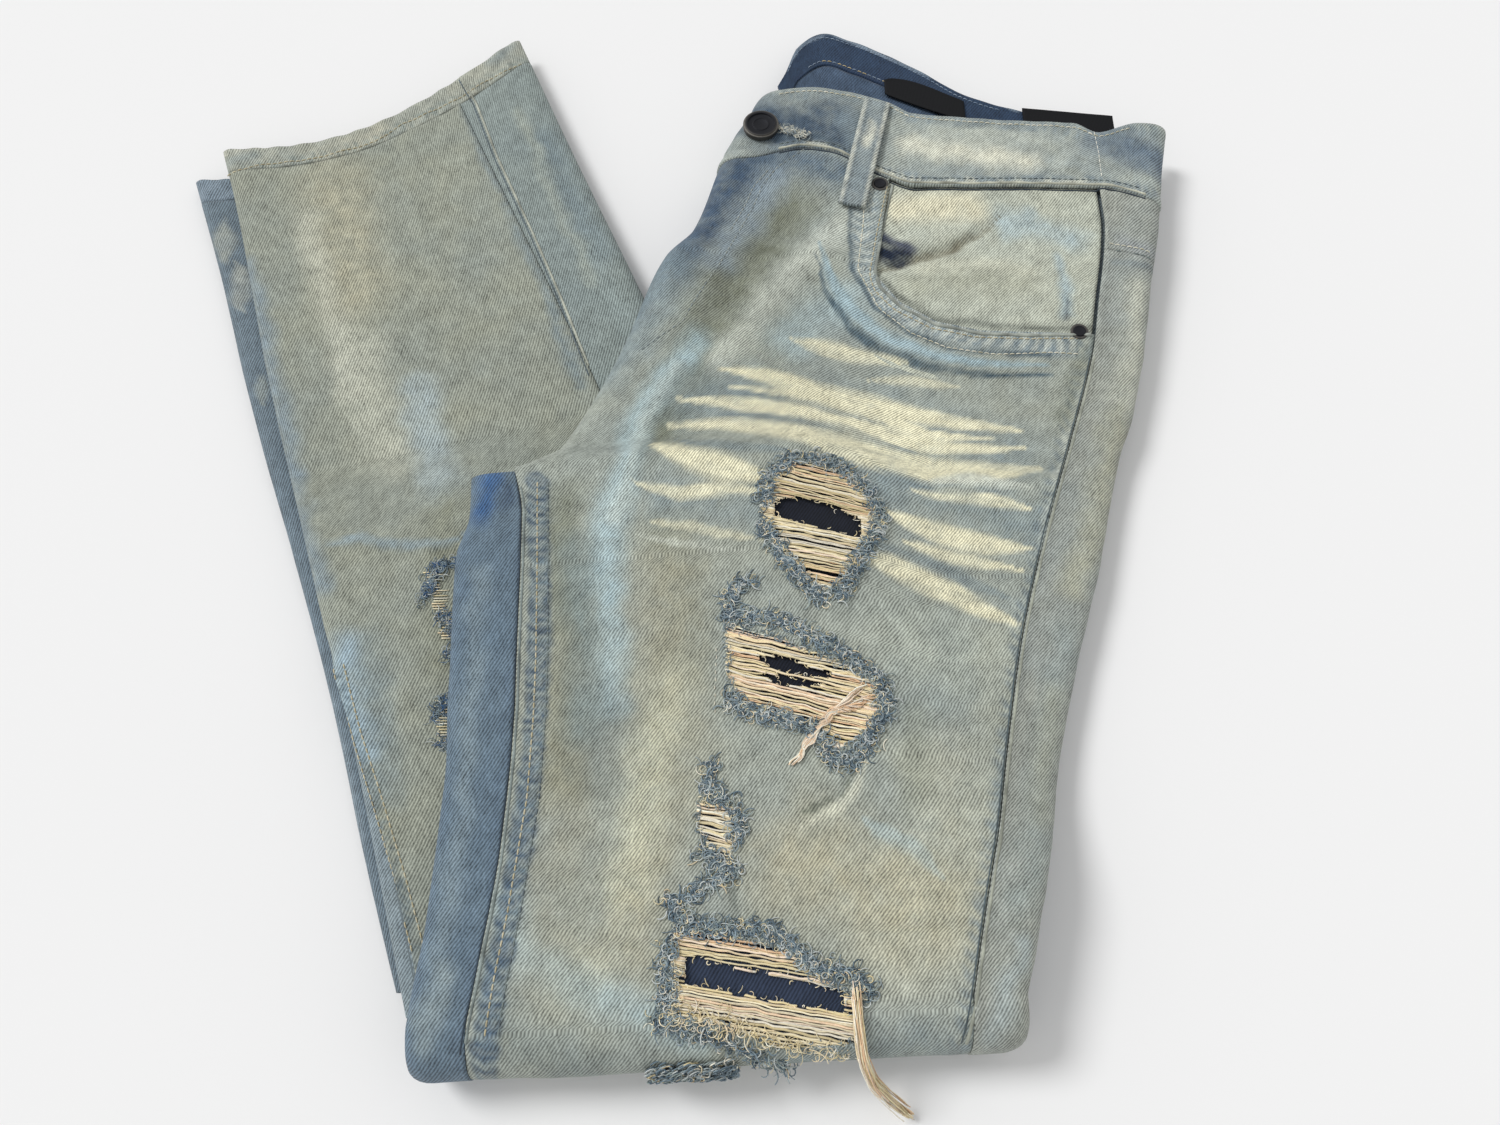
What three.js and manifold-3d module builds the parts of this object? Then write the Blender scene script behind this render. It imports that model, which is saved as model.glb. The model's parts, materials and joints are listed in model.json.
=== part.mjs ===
// Ripped jeans, folded in half lengthwise with the front outside, then folded under at the knees.
// Millimetres, +Z up, lying on the surface z = 0, origin at the middle of the underside.
//
// From the top down the stack is: left leg above the knee, right leg above the knee, right leg
// below the knee, left leg below the knee. Every visible piece of cloth is a wall made from rows of
// points on the folded form; the hidden layers share one solid, recessed wherever a wall lies on it.
import * as THREE from 'three';
import { mergeVertices } from 'three/addons/utils/BufferGeometryUtils.js';
import Module from 'manifold-3d';

const wasm = await Module();
wasm.setup();

// ---- Driving dimensions ------------------------------------------------------------------------
const CLOTH = 1.5;            // one ply of denim with its folds
const BAND = 3.0;             // waistband, two plies
const SEAM_GAP = 0.3;         // between two pieces sewn together
const LEG = 10;               // one leg pressed flat
const FOLD_RADIUS = 2 * LEG;  // outside of the bend at the knees
const HIP_LEG = 13.5;         // half the stack at the hips
const EDGE = 9;               // how far a leg's rounded edge reaches in
const FLY_EDGE = 12;          // the same at the centre front fold
const INSET = 3;              // how far a lower layer's edge stands back
const CORE_SHY = 5;           // the hidden layers stay this far inside the cloth's outer face
const HEM = 17;               // hem depth
const HEM_ROOM = 2;           // the hidden layers end this far short of a hem
const WAIST_END = -0.2;       // the row where they end, inside the waistband, which stays open above it
const BUTTON_RADIUS = 10;
const RIVET_RADIUS = 4.5;
const LOOP_WIDTH = 15;
const RAMP = 90;              // run of the step down from the lower legs to the surface
const BEND_HEART = 3;         // radius left open at the middle of the bend
const PINCH = 0.002;          // points nearer than this count as one place
const HAIR = 0.05;
const CHIP = 0.05;            // edges shorter than this are cleaned away after cutting
const CROTCH_Y = -17;
const CROTCH_CORNER = [[-72, -22], [-50, -22], [-50, -7], [-72, -7]];   // where three pieces meet
const CROTCH_CLEAR_Z = 29;
const HEM_DIP = 27;           // how far the hem's middle curves towards the knee

// ---- Curves ------------------------------------------------------------------------------------
const mix = (a, b, t) => a + (b - a) * t;
const clamp01 = (t) => Math.min(1, Math.max(0, t));
const smooth = (t) => { const c = clamp01(t); return c * c * (3 - 2 * c); };
const rad = THREE.MathUtils.degToRad;

/** A smooth function through [input, output] points, kept straight past its ends. */
function through(points) {
  const p = [...points].sort((a, b) => a[0] - b[0]);
  const rise = (i) => (p[i + 1][1] - p[i][1]) / (p[i + 1][0] - p[i][0]);
  const slope = p.map((_, i) => {
    if (i === 0) return rise(0);
    if (i === p.length - 1) return rise(i - 1);
    const a = rise(i - 1);
    const b = rise(i);
    return a * b <= 0 ? 0 : (2 * a * b) / (a + b);
  });
  return (x) => {
    const last = p.length - 1;
    if (x <= p[0][0]) return p[0][1] + slope[0] * (x - p[0][0]);
    if (x >= p[last][0]) return p[last][1] + slope[last] * (x - p[last][0]);
    let i = 0;
    while (x > p[i + 1][0]) i += 1;
    const w = p[i + 1][0] - p[i][0];
    const t = (x - p[i][0]) / w;
    return p[i][1] * (1 + 2 * t) * (1 - t) ** 2 + slope[i] * w * t * (1 - t) ** 2
      + p[i + 1][1] * t * t * (3 - 2 * t) + slope[i + 1] * w * t * t * (t - 1);
  };
}

// Upper legs. Edges and seams that run down the leg give x for y; those across give y for x.
const centreFront = through([[229, 43], [189, 25], [127, 9], [105, -5], [53, -23], [17, -39], [-8, -54], [-15, -62], [-17, -68]]);
const legEdge = through([[-19, -90], [-40, -89], [-60, -93], [-118, -90], [-167, -87], [-217, -88], [-276, -93]]);
const inseam = through([[-18, -69], [-39, -64], [-98, -61], [-150, -59], [-188, -60], [-237, -65], [-276, -70]]);
const outerEdge = through([[212, 273], [170, 264], [137, 258], [96, 248], [43, 236], [-3, 220], [-53, 205],
  [-93, 192], [-162, 171], [-218, 155], [-262, 142]]);
const outseam = through([[165, 228], [143, 228], [125, 226], [90, 219], [60, 213], [10, 197], [-41, 179],
  [-86, 165], [-162, 146], [-208, 134], [-264, 121]]);
const bandSeam = through([[20, 180], [42, 183], [70, 190], [84, 188], [109, 172], [130, 163], [180, 163],
  [227, 162], [265, 150]]);
const bandTop = through([[36, 228], [54, 231], [75, 234], [96, 230], [117, 222], [131, 214], [156, 211],
  [200, 208], [219, 207], [232, 200], [255, 207], [275, 205]]);
const kneeLine = (x) => -272 + 0.05 * x;
const bendAxis = (x) => kneeLine(x) + FOLD_RADIUS;

// Back waistband, seen from inside above the front one.
const backTop = through([[52, 241], [60, 258], [68, 280], [84, 292], [99, 286], [121, 274], [143, 259],
  [160, 245], [193, 231], [266, 210]]);
const backSeam = (x) => backTop(x) - 25;

// Lower legs, from the hem (0) to the bend (1).
const curve = (points) => new THREE.CatmullRomCurve3(points.map(([x, y]) => new THREE.Vector3(x, y, 0)));
const rightLeft = curve([[-257, 200], [-242, 160], [-205, 49], [-163, -66], [-132, -154], [-98, -256]]);
const rightRight = curve([[-97, 287], [-53, 184], [22, 15], [141, -243]]);
const leftLeft = curve([[-273, 185], [-248, 124], [-212, 30], [-171, -67], [-147, -128], [-124, -193], [-100, -256]]);
const leftRight = curve([[-116, 268], [-70, 172], [10, 0], [138, -243]]);

// ---- The folded form ---------------------------------------------------------------------------
/** How far (x, y) lies over the lower legs, from 0 beside them to 1 on them. */
function overLowerLegs(x, y) {
  const side = (x - 143) * -0.916 + (y + 262) * -0.401;
  const nearBend = 60 * smooth((-150 - y) / 90);
  return smooth((side + nearBend + RAMP) / RAMP);
}
const halfStack = (y) => mix(LEG, HIP_LEG, smooth((y + 20) / 150));
const upperTop = (x, y) => 2 * LEG * overLowerLegs(x, y) + 2 * halfStack(y);

/** y on row v at x: -1 is the waistband's top edge, 0 its seam, 1 where the bend begins. */
function rowY(x, v) {
  if (v < 0) return mix(bandSeam(x), bandTop(x), -v);
  return mix(bandSeam(x), bendAxis(x), Math.min(v, 1));
}

/** The row that passes through (x, y), between the waistband's seam and the bend. */
function rowOf(x, y) {
  return clamp01((bandSeam(x) - y) / (bandSeam(x) - bendAxis(x)));
}

/** Where a curve that gives x for y crosses row v. */
function crossing(xOfY, v) {
  let x = xOfY(0);
  for (let i = 0; i < 12; i += 1) x = mix(x, xOfY(rowY(x, v)), 0.7);
  return x;
}

/** A point of the upper legs: row v, place x, height h from the top skin. Past 1 the row turns
 *  round the bend, half a turn by v = 2. */
function upper(v, x, h) {
  const y = rowY(x, v);
  if (v <= 1) return new THREE.Vector3(x, y, upperTop(x, y) + h);
  const turn = (v - 1) * Math.PI;
  const r = FOLD_RADIUS + h;
  return new THREE.Vector3(x, y - r * Math.sin(turn), FOLD_RADIUS + r * Math.cos(turn));
}

/** A point of a lower leg: t from hem to bend, w from left edge to right, height h from its top. */
function lower(left, right, top, t, w, h) {
  const a = left.getPointAt(t);
  const b = right.getPointAt(t);
  const dip = HEM_DIP * Math.sin(Math.PI * clamp01(w)) * (1 - t) ** 4;
  return new THREE.Vector3(mix(a.x, b.x, w), mix(a.y, b.y, w) - dip, top(t) + h);
}
const rightTop = (t) => mix(16, 20, t);
const leftTop = (t) => mix(8.4, 10, t);
const rightHalf = (t) => (rightTop(t) - leftTop(t) - SEAM_GAP) / 2;

// Angles round a pressed edge, from under it to its top.
const ROLL = [-60, -25, 10, 45].map(rad);
/** [distance in from the edge, height from the top] at an angle round the edge. */
const roll = (angle, reach, half) => [reach * (1 - Math.cos(angle)), half * (Math.sin(angle) - 1)];

// ---- Solids ------------------------------------------------------------------------------------
function solidFrom(points, faces) {
  let volume = 0;
  for (const [a, b, c] of faces) volume += points[a].dot(points[b].clone().cross(points[c]));
  const geometry = new THREE.BufferGeometry();
  geometry.setAttribute('position', new THREE.Float32BufferAttribute(points.flatMap((p) => p.toArray()), 3));
  geometry.setIndex(faces.flatMap(([a, b, c]) => (volume < 0 ? [a, c, b] : [a, b, c])));
  return toManifold(geometry);
}

function toManifold(geometry) {
  const bare = geometry.clone();
  bare.deleteAttribute('normal');
  bare.deleteAttribute('uv');
  const merged = mergeVertices(bare, 1e-4);
  return new wasm.Manifold(new wasm.Mesh({
    numProp: 3,
    vertProperties: new Float32Array(merged.attributes.position.array),
    triVerts: new Uint32Array(merged.index.array),
  }));
}

/** Grid of faces over rows of equal length, starting at point number `first`. */
function gridFaces(rows, cols, first = 0) {
  const faces = [];
  for (let i = 0; i + 1 < rows; i += 1) {
    for (let j = 0; j + 1 < cols; j += 1) {
      const a = first + i * cols + j;
      faces.push([a, a + 1, a + cols], [a + 1, a + cols + 1, a + cols]);
    }
  }
  return faces;
}

/** The grid's normals, on the side that faces up or out. */
function normals(grid) {
  return grid.map((row, i) => row.map((_, j) => {
    const along = grid[Math.min(i + 1, grid.length - 1)][j].clone().sub(grid[Math.max(i - 1, 0)][j]);
    const across = row[Math.min(j + 1, row.length - 1)].clone().sub(row[Math.max(j - 1, 0)]);
    return along.cross(across).normalize();
  }));
}

/** A wall of cloth over a grid of points: `out` proud of them, `inward` below them. */
function wall(grid, out, inward) {
  const n = normals(grid);
  const rows = grid.length;
  const cols = grid[0].length;
  const sheet = (offset) => grid.flatMap((row, i) => row.map((p, j) => p.clone().addScaledVector(n[i][j], offset)));
  const points = [...sheet(out), ...sheet(-inward)];
  const under = rows * cols;
  const faces = gridFaces(rows, cols);
  for (const [a, b, c] of gridFaces(rows, cols, under)) faces.push([a, c, b]);
  const rim = [];
  for (let j = 0; j < cols - 1; j += 1) rim.push([j, j + 1]);
  for (let i = 0; i < rows - 1; i += 1) rim.push([i * cols + cols - 1, (i + 1) * cols + cols - 1]);
  for (let j = cols - 1; j > 0; j -= 1) rim.push([(rows - 1) * cols + j, (rows - 1) * cols + j - 1]);
  for (let i = rows - 1; i > 0; i -= 1) rim.push([i * cols, (i - 1) * cols]);
  for (const [a, b] of rim) faces.push([b, a, a + under], [b, a + under, b + under]);
  return solidFrom(points, faces);
}

/** A closed solid through rings of equal length. */
function loft(rings) {
  const size = rings[0].length;
  const points = rings.flat();
  const faces = [];
  for (let i = 0; i + 1 < rings.length; i += 1) {
    for (let j = 0; j < size; j += 1) {
      const a = i * size + j;
      const b = i * size + ((j + 1) % size);
      faces.push([a, b, a + size], [b, b + size, a + size]);
    }
  }
  for (const [first, flip] of [[0, true], [(rings.length - 1) * size, false]]) {
    const ring = points.slice(first, first + size);
    const middle = ring.reduce((sum, p) => sum.add(p), new THREE.Vector3()).divideScalar(size);
    points.push(middle);
    for (let j = 0; j < size; j += 1) {
      const a = first + j;
      const b = first + ((j + 1) % size);
      faces.push(flip ? [b, a, points.length - 1] : [a, b, points.length - 1]);
    }
  }
  return solidFrom(points, faces);
}

/** An upright prism over an outline, between two heights. */
function prism(outline, low, high) {
  const shape = new THREE.Shape(outline.map(([x, y]) => new THREE.Vector2(x, y)));
  const geometry = new THREE.ExtrudeGeometry(shape, { depth: high - low, bevelEnabled: false });
  geometry.translate(0, 0, low);
  return toManifold(geometry);
}

/** An outline grown or shrunk about its middle, by millimetres. */
function grown(outline, by) {
  const cx = outline.reduce((s, p) => s + p[0], 0) / outline.length;
  const cy = outline.reduce((s, p) => s + p[1], 0) / outline.length;
  return outline.map(([x, y]) => {
    const d = Math.hypot(x - cx, y - cy);
    return [cx + ((x - cx) * (d + by)) / d, cy + ((y - cy) * (d + by)) / d];
  });
}

const spread = (count) => Array.from({ length: count }, (_, i) => i / (count - 1));
const rowsBetween = (v0, v1, count) => spread(count).map((s) => mix(v0, v1, s));

// ---- Pieces ------------------------------------------------------------------------------------
/** A cut leaves the piece and, at times, a few chips; this keeps the piece. */
function keep(solid) {
  return solid.decompose().sort((a, b) => b.volume() - a.volume())[0];
}

/** The piece with room cut for others. */
function clear(made, ...others) {
  return { ...made, solid: keep(others.reduce((solid, other) => solid.subtract(other.room), made.solid)) };
}

/** What a piece is made of: its own solid, the same a little fatter to cut its neighbours with, and
 *  fatter again to cut the hidden layers with. */
function piece(grid, out = 0, inward = CLOTH) {
  const around = (by) => wall(widen(grid, by), out + by, inward + by);
  return { solid: wall(grid, out, inward), room: around(SEAM_GAP), recess: around(2 * SEAM_GAP) };
}

/** The grid with its rim moved out by `by` along its rows and columns. */
function widen(grid, by) {
  const out = grid.map((row) => row.map((p) => p.clone()));
  const last = grid.length - 1;
  const end = grid[0].length - 1;
  const push = (p, from) => p.add(p.clone().sub(from).setLength(by));
  for (let j = 0; j <= end; j += 1) {
    push(out[0][j], grid[1][j]);
    push(out[last][j], grid[last - 1][j]);
  }
  for (let i = 0; i <= last; i += 1) {
    push(out[i][0], grid[i][1]);
    push(out[i][end], grid[i][end - 1]);
  }
  return out;
}

const frontTopGap = SEAM_GAP / 2 / 340;   // half a seam gap as a part of the panel's length
const CROTCH_V = rowOf(-69, CROTCH_Y);

/** The left front panel's row: round the centre front fold above the crotch, from the inseam
 *  below it, and on to the outseam. */
function frontRow(v) {
  const half = halfStack(rowY(0, v));
  const fold = crossing(centreFront, v);
  const seam = crossing(inseam, v) + SEAM_GAP / 2;
  const below = smooth((v - CROTCH_V + 0.025) / 0.025);
  const right = crossing(outseam, v) - SEAM_GAP / 2;
  const steps = [...ROLL, rad(90)].map((angle, k) => {
    const [d, h] = roll(angle, FLY_EDGE, half);
    return [mix(fold + d, seam + 3 * k, below), mix(h, 0, below)];
  });
  const start = steps[steps.length - 1][0];
  const inner = spread(10).slice(1).map((s) => [mix(start, right, s), 0]);
  return [...steps, ...inner].map(([x, h]) => upper(v, x, h));
}
const BEND_ROWS = rowsBetween(1, 1.8, 5).slice(1);
const PANEL_ROWS = [...rowsBetween(frontTopGap, CROTCH_V - 0.025, 7), ...rowsBetween(CROTCH_V, 1, 8), ...BEND_ROWS];
const frontGrid = PANEL_ROWS.map(frontRow);

/** Rip outlines in the left front panel, from thigh to knee. */
const RIPS = {
  thigh: [[59, -13], [72, -11], [88, -18], [97, -30], [96, -44], [87, -60], [80, -74], [70, -79],
    [60, -66], [50, -53], [45, -38], [50, -24]],
  mid_thigh: [[30, -95], [52, -101], [80, -113], [95, -124], [92, -140], [76, -150], [62, -138],
    [38, -131], [31, -118]],
  above_knee: [[20, -172], [33, -174], [34, -184], [31, -196], [24, -190], [19, -182]],
  knee: [[10, -222], [30, -224], [52, -229], [68, -239], [80, -247], [80, -262], [52, -264],
    [34, -257], [12, -252]],
};
const POCKET = [[116, 172], [110, 135], [105, 105], [117, 88], [135, 76], [157, 71], [185, 70], [222, 68],
  [240, 110], [240, 172]];
const RIP_FLOOR = 12;   // rips are cut in the upper skin only
const SKY = 60;

function leftFrontPanel() {
  const whole = piece(frontGrid);
  let cut = whole.solid.subtract(prism(POCKET, 0, SKY));
  for (const outline of Object.values(RIPS)) cut = cut.subtract(prism(outline, RIP_FLOOR, SKY));
  return { ...whole, solid: cut };
}

/** A patch of the front panel's own rows and columns, moved under it. */
function underPanel(firstRow, lastRow, firstColumn, lastColumn, thick) {
  const grid = frontGrid.slice(firstRow, lastRow + 1).map((row) => row.slice(firstColumn, lastColumn + 1));
  const depth = CLOTH + SEAM_GAP;
  return piece(grid, -depth, depth + thick);
}

/** Back cloth that turns under along the inseam edge of the left leg. */
function backInseamSide() {
  const rows = [...rowsBetween(CROTCH_V + 0.004, 1, 9), ...BEND_ROWS];
  const grid = rows.map((v) => {
    const edge = crossing(legEdge, v);
    const seam = crossing(inseam, v) - SEAM_GAP / 2;
    const turned = ROLL.map((angle) => roll(angle, EDGE, LEG / 2));
    const steps = [...turned.map(([d, h]) => [edge + d, h]), [edge + EDGE, 0], [seam, 0]];
    return steps.map(([x, h]) => upper(v, x, h));
  });
  return piece(grid);
}

/** Cloth round the outer edge, from the outseam over and under, between two rows. */
function outerSide(rows) {
  const grid = rows.map((v) => {
    const half = halfStack(rowY(200, v)) / 2;
    const seam = crossing(outseam, v) + SEAM_GAP / 2;
    const edge = crossing(outerEdge, v);
    const turned = [...ROLL].reverse().map((angle) => roll(angle, EDGE, half));
    const steps = [[seam, 0], [mix(seam, edge - EDGE, 0.5), 0], [edge - EDGE, 0],
      ...turned.map(([d, h]) => [edge - d, h])];
    return steps.map(([x, h]) => upper(v, x, h));
  });
  return piece(grid);
}
const YOKE_V = 0.104;
const OUTER_ROWS = [...rowsBetween(YOKE_V + 0.0008, 1, 11), ...BEND_ROWS];

/** The waistband's front half: round the centre front fold, along the front and round the side. */
function leftFrontBand() {
  const lift = 0.8;
  const grid = rowsBetween(-1, -frontTopGap, 3).map((v) => {
    const half = HIP_LEG;
    const fold = crossing(centreFront, v);
    const edge = crossing(outerEdge, v);
    const left = [...ROLL, rad(90)].map((angle) => roll(angle, FLY_EDGE, half)).map(([d, h]) => [fold + d, h]);
    const right = [rad(90), ...[...ROLL].reverse()].map((angle) => roll(angle, EDGE, half / 2))
      .map(([d, h]) => [edge - d, h]);
    const start = left[left.length - 1][0];
    const middle = spread(13).slice(1, -1).map((s) => [mix(start, right[0][0], s), 0]);
    return [...left, ...middle, ...right].map(([x, h]) => upper(v, x, h));
  });
  return piece(grid, lift, BAND - lift);
}

/** A flat wall between two curves y(x), over x0 to x1, its top at height z. */
function flatWall(x0, x1, lowY, highY, z, thick, columns = 12) {
  const grid = spread(4).map((s) => spread(columns).map((c) => {
    const x = mix(x0, x1, c);
    return new THREE.Vector3(x, mix(highY(x), lowY(x), s), z);
  }));
  return piece(grid, 0, thick);
}

const BACK_Z = 14;        // upper face of the left back band
const RIGHT_BACK_Z = 9;   // upper face of the right back band below it
function leftBackBand() {
  return flatWall(57, 250, (x) => Math.max(backSeam(x), bandTop(x) - 12), backTop, BACK_Z, BAND);
}
function leftBackInside() {
  return flatWall(52, 175, (x) => bandTop(x) - 22, (x) => Math.max(backSeam(x), bandTop(x) - 12) - SEAM_GAP,
    BACK_Z - 1, CLOTH);
}
function rightBackBand() {
  return flatWall(57, 250, (x) => bandTop(x) - 12, (x) => backTop(x) - 1, RIGHT_BACK_Z, BAND);
}
function rightFrontBand() {
  return flatWall(52, 258, (x) => bandTop(x) - 22, (x) => bandTop(x) - 1, BAND, BAND);
}

/** A leg end's loop: the hem's outer ring less its inner one. */
function hemLoop(left, right, top, half, length) {
  const t1 = HEM / length;
  const ring = (t, inset, shrink) => {
    const width = left.getPointAt(t).distanceTo(right.getPointAt(t));
    const b = half(t) - shrink;
    const arc = spread(5).map((s) => mix(90, -90, s)).map(rad);
    const points = [];
    for (const angle of arc) points.push([1 - (inset + (EDGE - shrink) * (1 - Math.cos(angle))) / width, b * Math.sin(angle)]);
    for (const s of [0.75, 0.5, 0.25]) points.push([s, -b]);
    for (const angle of [...arc].reverse()) points.push([(inset + (EDGE - shrink) * (1 - Math.cos(angle))) / width, b * Math.sin(angle)]);
    for (const s of [0.25, 0.5, 0.75]) points.push([s, b]);
    return points.map(([w, h]) => lower(left, right, top, t, w, h - half(t)));
  };
  const body = (inset, past) => {
    const rings = [0, t1].map((t) => ring(t, inset, inset));
    const along = rings[0][0].clone().sub(rings[1][0]).setLength(past);
    return loft([rings[0].map((p) => p.clone().add(along)), rings[1].map((p) => p.clone().sub(along))]);
  };
  return { solid: body(0, 0).subtract(body(2, HEM)), recess: body(-SEAM_GAP, HEM_ROOM) };
}

/** Lower leg walls: t range, and across from one [w offset mm, height] list. */
function lowerWall(left, right, top, ts, stepsAt) {
  const grid = ts.map((t) => {
    const width = left.getPointAt(t).distanceTo(right.getPointAt(t));
    return stepsAt(t, width).map(([d, h]) => lower(left, right, top, t, d / width, h));
  });
  return piece(grid);
}
const RIGHT_LENGTH = 487;
const LEFT_LENGTH = 473;
const HEM_T = (HEM + SEAM_GAP) / RIGHT_LENGTH;
const OUTSEAM_IN = 42;   // the right outseam's distance from that leg's edge

/** Where the right inseam comes over the leg's left edge: distance in from the edge. */
const rightInseam = (t) => mix(-4, 10, smooth((t - 0.5) / 0.45));

/** How far in from the leg's left edge the cloth runs before it ends under the upper legs. */
const underUpperLeg = through([[0, 300], [0.4, 176], [0.45, 164], [0.5, 128], [0.56, 92], [0.7, 66], [0.8, 50],
  [0.9, 34], [1, 20]]);

function rightFrontLower() {
  return lowerWall(rightLeft, rightRight, rightTop, rowsBetween(HEM_T, 0.985, 14), (t, width) => {
    const half = rightHalf(t);
    const shown = smooth((t - 0.6) / 0.1);
    const seam = rightInseam(t) + SEAM_GAP / 2;
    const turned = [...ROLL, rad(90)].map((a, k) => {
      const [d, h] = roll(a, EDGE, half);
      return [mix(d, seam + 2 * k, shown), mix(h, 0, shown)];
    });
    const end = Math.min(width - OUTSEAM_IN, underUpperLeg(t)) - SEAM_GAP / 2;
    const start = turned[turned.length - 1][0];
    return [...turned, ...spread(6).slice(1).map((s) => [mix(start, end, s), 0])];
  });
}
function rightBackOuter() {
  return lowerWall(rightLeft, rightRight, rightTop, rowsBetween(HEM_T, 0.5, 8), (t, width) => {
    const turned = [...ROLL].reverse().map((a) => roll(a, EDGE, rightHalf(t)));
    const start = width - OUTSEAM_IN + SEAM_GAP / 2;
    return [[start, 0], [width - 24, 0], [width - EDGE, 0], ...turned.map(([d, h]) => [width - d, h])];
  });
}
function leftBackLower() {
  const t0 = (HEM + SEAM_GAP) / LEFT_LENGTH;
  return lowerWall(leftLeft, leftRight, leftTop, rowsBetween(t0, 0.97, 12), (t) => {
    const turned = ROLL.slice(1).map((a) => roll(a, EDGE, leftTop(t) / 2));
    return [...turned, [EDGE, 0], [26, 0], [44, 0]];
  });
}

/** The belt loop lies over the waistband and the panel below it. */
function beltLoop() {
  const top = new THREE.Vector2(111, 221);
  const foot = new THREE.Vector2(94, 147);
  const side = foot.clone().sub(top).normalize();
  const across = new THREE.Vector2(-side.y, side.x);
  const grid = spread(7).map((s) => [-0.5, 0, 0.5].map((k) => {
    const p = top.clone().lerp(foot, s).addScaledVector(across, k * LOOP_WIDTH);
    return new THREE.Vector3(p.x, p.y, upperTop(p.x, p.y) + 1.2 + 0.9 * Math.sin(Math.PI * s) + 2);
  }));
  return piece(grid, 0, 2);
}

/** A turned metal piece standing on the cloth at (x, y). */
function turned(profile, x, y, z) {
  const geometry = new THREE.LatheGeometry(profile.map(([r, h]) => new THREE.Vector2(r, h)), 16);
  geometry.rotateX(Math.PI / 2);
  geometry.translate(x, y, z);
  return { solid: toManifold(geometry) };
}
function button() {
  const r = BUTTON_RADIUS;
  const profile = [[0, 0], [r * 0.45, 0], [r * 0.45, 1.4], [r * 0.92, 1.8], [r, 2.8], [r * 0.95, 4], [r * 0.84, 4.3],
    [r * 0.76, 3.7], [0, 3.9]];
  return turned(profile, 46, 203, upperTop(46, 203) + 1.3);
}
function rivet(x, y) {
  const r = RIVET_RADIUS;
  const profile = [[0, 0], [r, 0], [r, 0.6], [r * 0.6, 1.5], [0, 1.5]];
  return turned(profile, x, y, upperTop(x, y) + SEAM_GAP);
}

const SIZE_LABEL = [[117, 247], [120, 253], [126, 255], [162, 239], [165, 232], [160, 222], [121, 240]];
const WAIST_LABEL = [[196, 212], [196, 232], [247, 226], [247, 206]];

/** A bare label on the inside of the back waistband. */
function label(outline) {
  return { solid: prism(outline, BACK_Z + SEAM_GAP, BACK_Z + SEAM_GAP + 1) };
}

/** The frayed edge that hangs round the bend below the knee rip. */
function kneeFringe() {
  const rows = rowsBetween(1.34, 1.68, 4);
  const grid = rows.map((v) => [2, 9, 18, 27, 34].map((x) => upper(v, x, 2 * SEAM_GAP)));
  return { solid: wall(grid, 5, 0) };
}

/** The loose bundle of threads at the rip's right end, over the bend and down to the surface. */
function kneeTassel() {
  const route = [[80, -243, 42.5], [81, -256, 41.5], [83, -268, 35.5], [87, -276, 27], [93, -281, 16],
    [100, -286, 5.5], [105, -289, 3]];
  const path = new THREE.CatmullRomCurve3(route.map((p) => new THREE.Vector3(...p)));
  const section = new THREE.Shape();
  section.absellipse(0, 0, 2, 2, 0, 2 * Math.PI);
  const geometry = new THREE.ExtrudeGeometry(section, {
    extrudePath: path, steps: 12, curveSegments: 4, bevelEnabled: false,
  });
  return { solid: toManifold(geometry) };
}

// ---- The hidden layers -------------------------------------------------------------------------
/** Section of the two upper legs at row v: two rounded edges with a groove between them, or one
 *  full edge at the centre front fold. */
function stackRing(v) {
  const y = rowY(60, v);
  const half = halfStack(y);
  const aboveCrotch = 1 - smooth((v - CROTCH_V + 0.01) / 0.03);
  const fold = crossing(centreFront, v) + CORE_SHY;
  const left = crossing(legEdge, v) + CORE_SHY;
  const right = crossing(outerEdge, v) - CORE_SHY;
  const step = [55, 20, -20, -55].map(rad);
  const layer = (angle) => [EDGE * (1 - Math.cos(angle)), (half / 2 - CORE_SHY / 2) * Math.sin(angle)];
  const points = [];
  const top = -CORE_SHY;
  const base = -Math.min(2 * half, v > 1 ? FOLD_RADIUS - BEND_HEART : Infinity);
  const l0 = mix(left + EDGE, fold + FLY_EDGE, aboveCrotch);
  for (const s of spread(8)) points.push([mix(l0, right - EDGE, s), top]);
  for (const a of step) points.push([right - layer(a)[0], layer(a)[1] - half / 2]);
  points.push([right - EDGE, -half]);
  for (const a of step) points.push([right - INSET - layer(a)[0], layer(a)[1] - 1.5 * half]);
  for (const s of spread(8).reverse()) points.push([mix(l0 + INSET, right - EDGE - INSET, s), base]);
  const leftEdge = [...step].reverse().map((a) => [left + INSET + layer(a)[0], layer(a)[1] - 1.5 * half]);
  leftEdge.push([left + EDGE, -half]);
  leftEdge.push(...[...step].reverse().map((a) => [left + layer(a)[0], layer(a)[1] - half / 2]));
  leftEdge.forEach(([x, h], k) => {
    const angle = rad(mix(-72, 72, k / (leftEdge.length - 1)));
    const full = [fold + FLY_EDGE * (1 - Math.cos(angle)), -half + (half - CORE_SHY) * Math.sin(angle)];
    points.push([mix(x, full[0], aboveCrotch), mix(h, full[1], aboveCrotch)]);
  });
  return points.map(([x, h]) => {
    const p = upper(v, x, h);
    if (v > 1) return p;
    const floor = (2 * LEG - 2) * overLowerLegs(x, p.y);
    p.z = h === base ? floor : Math.max(p.z, floor + SEAM_GAP);
    return p;
  });
}

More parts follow.
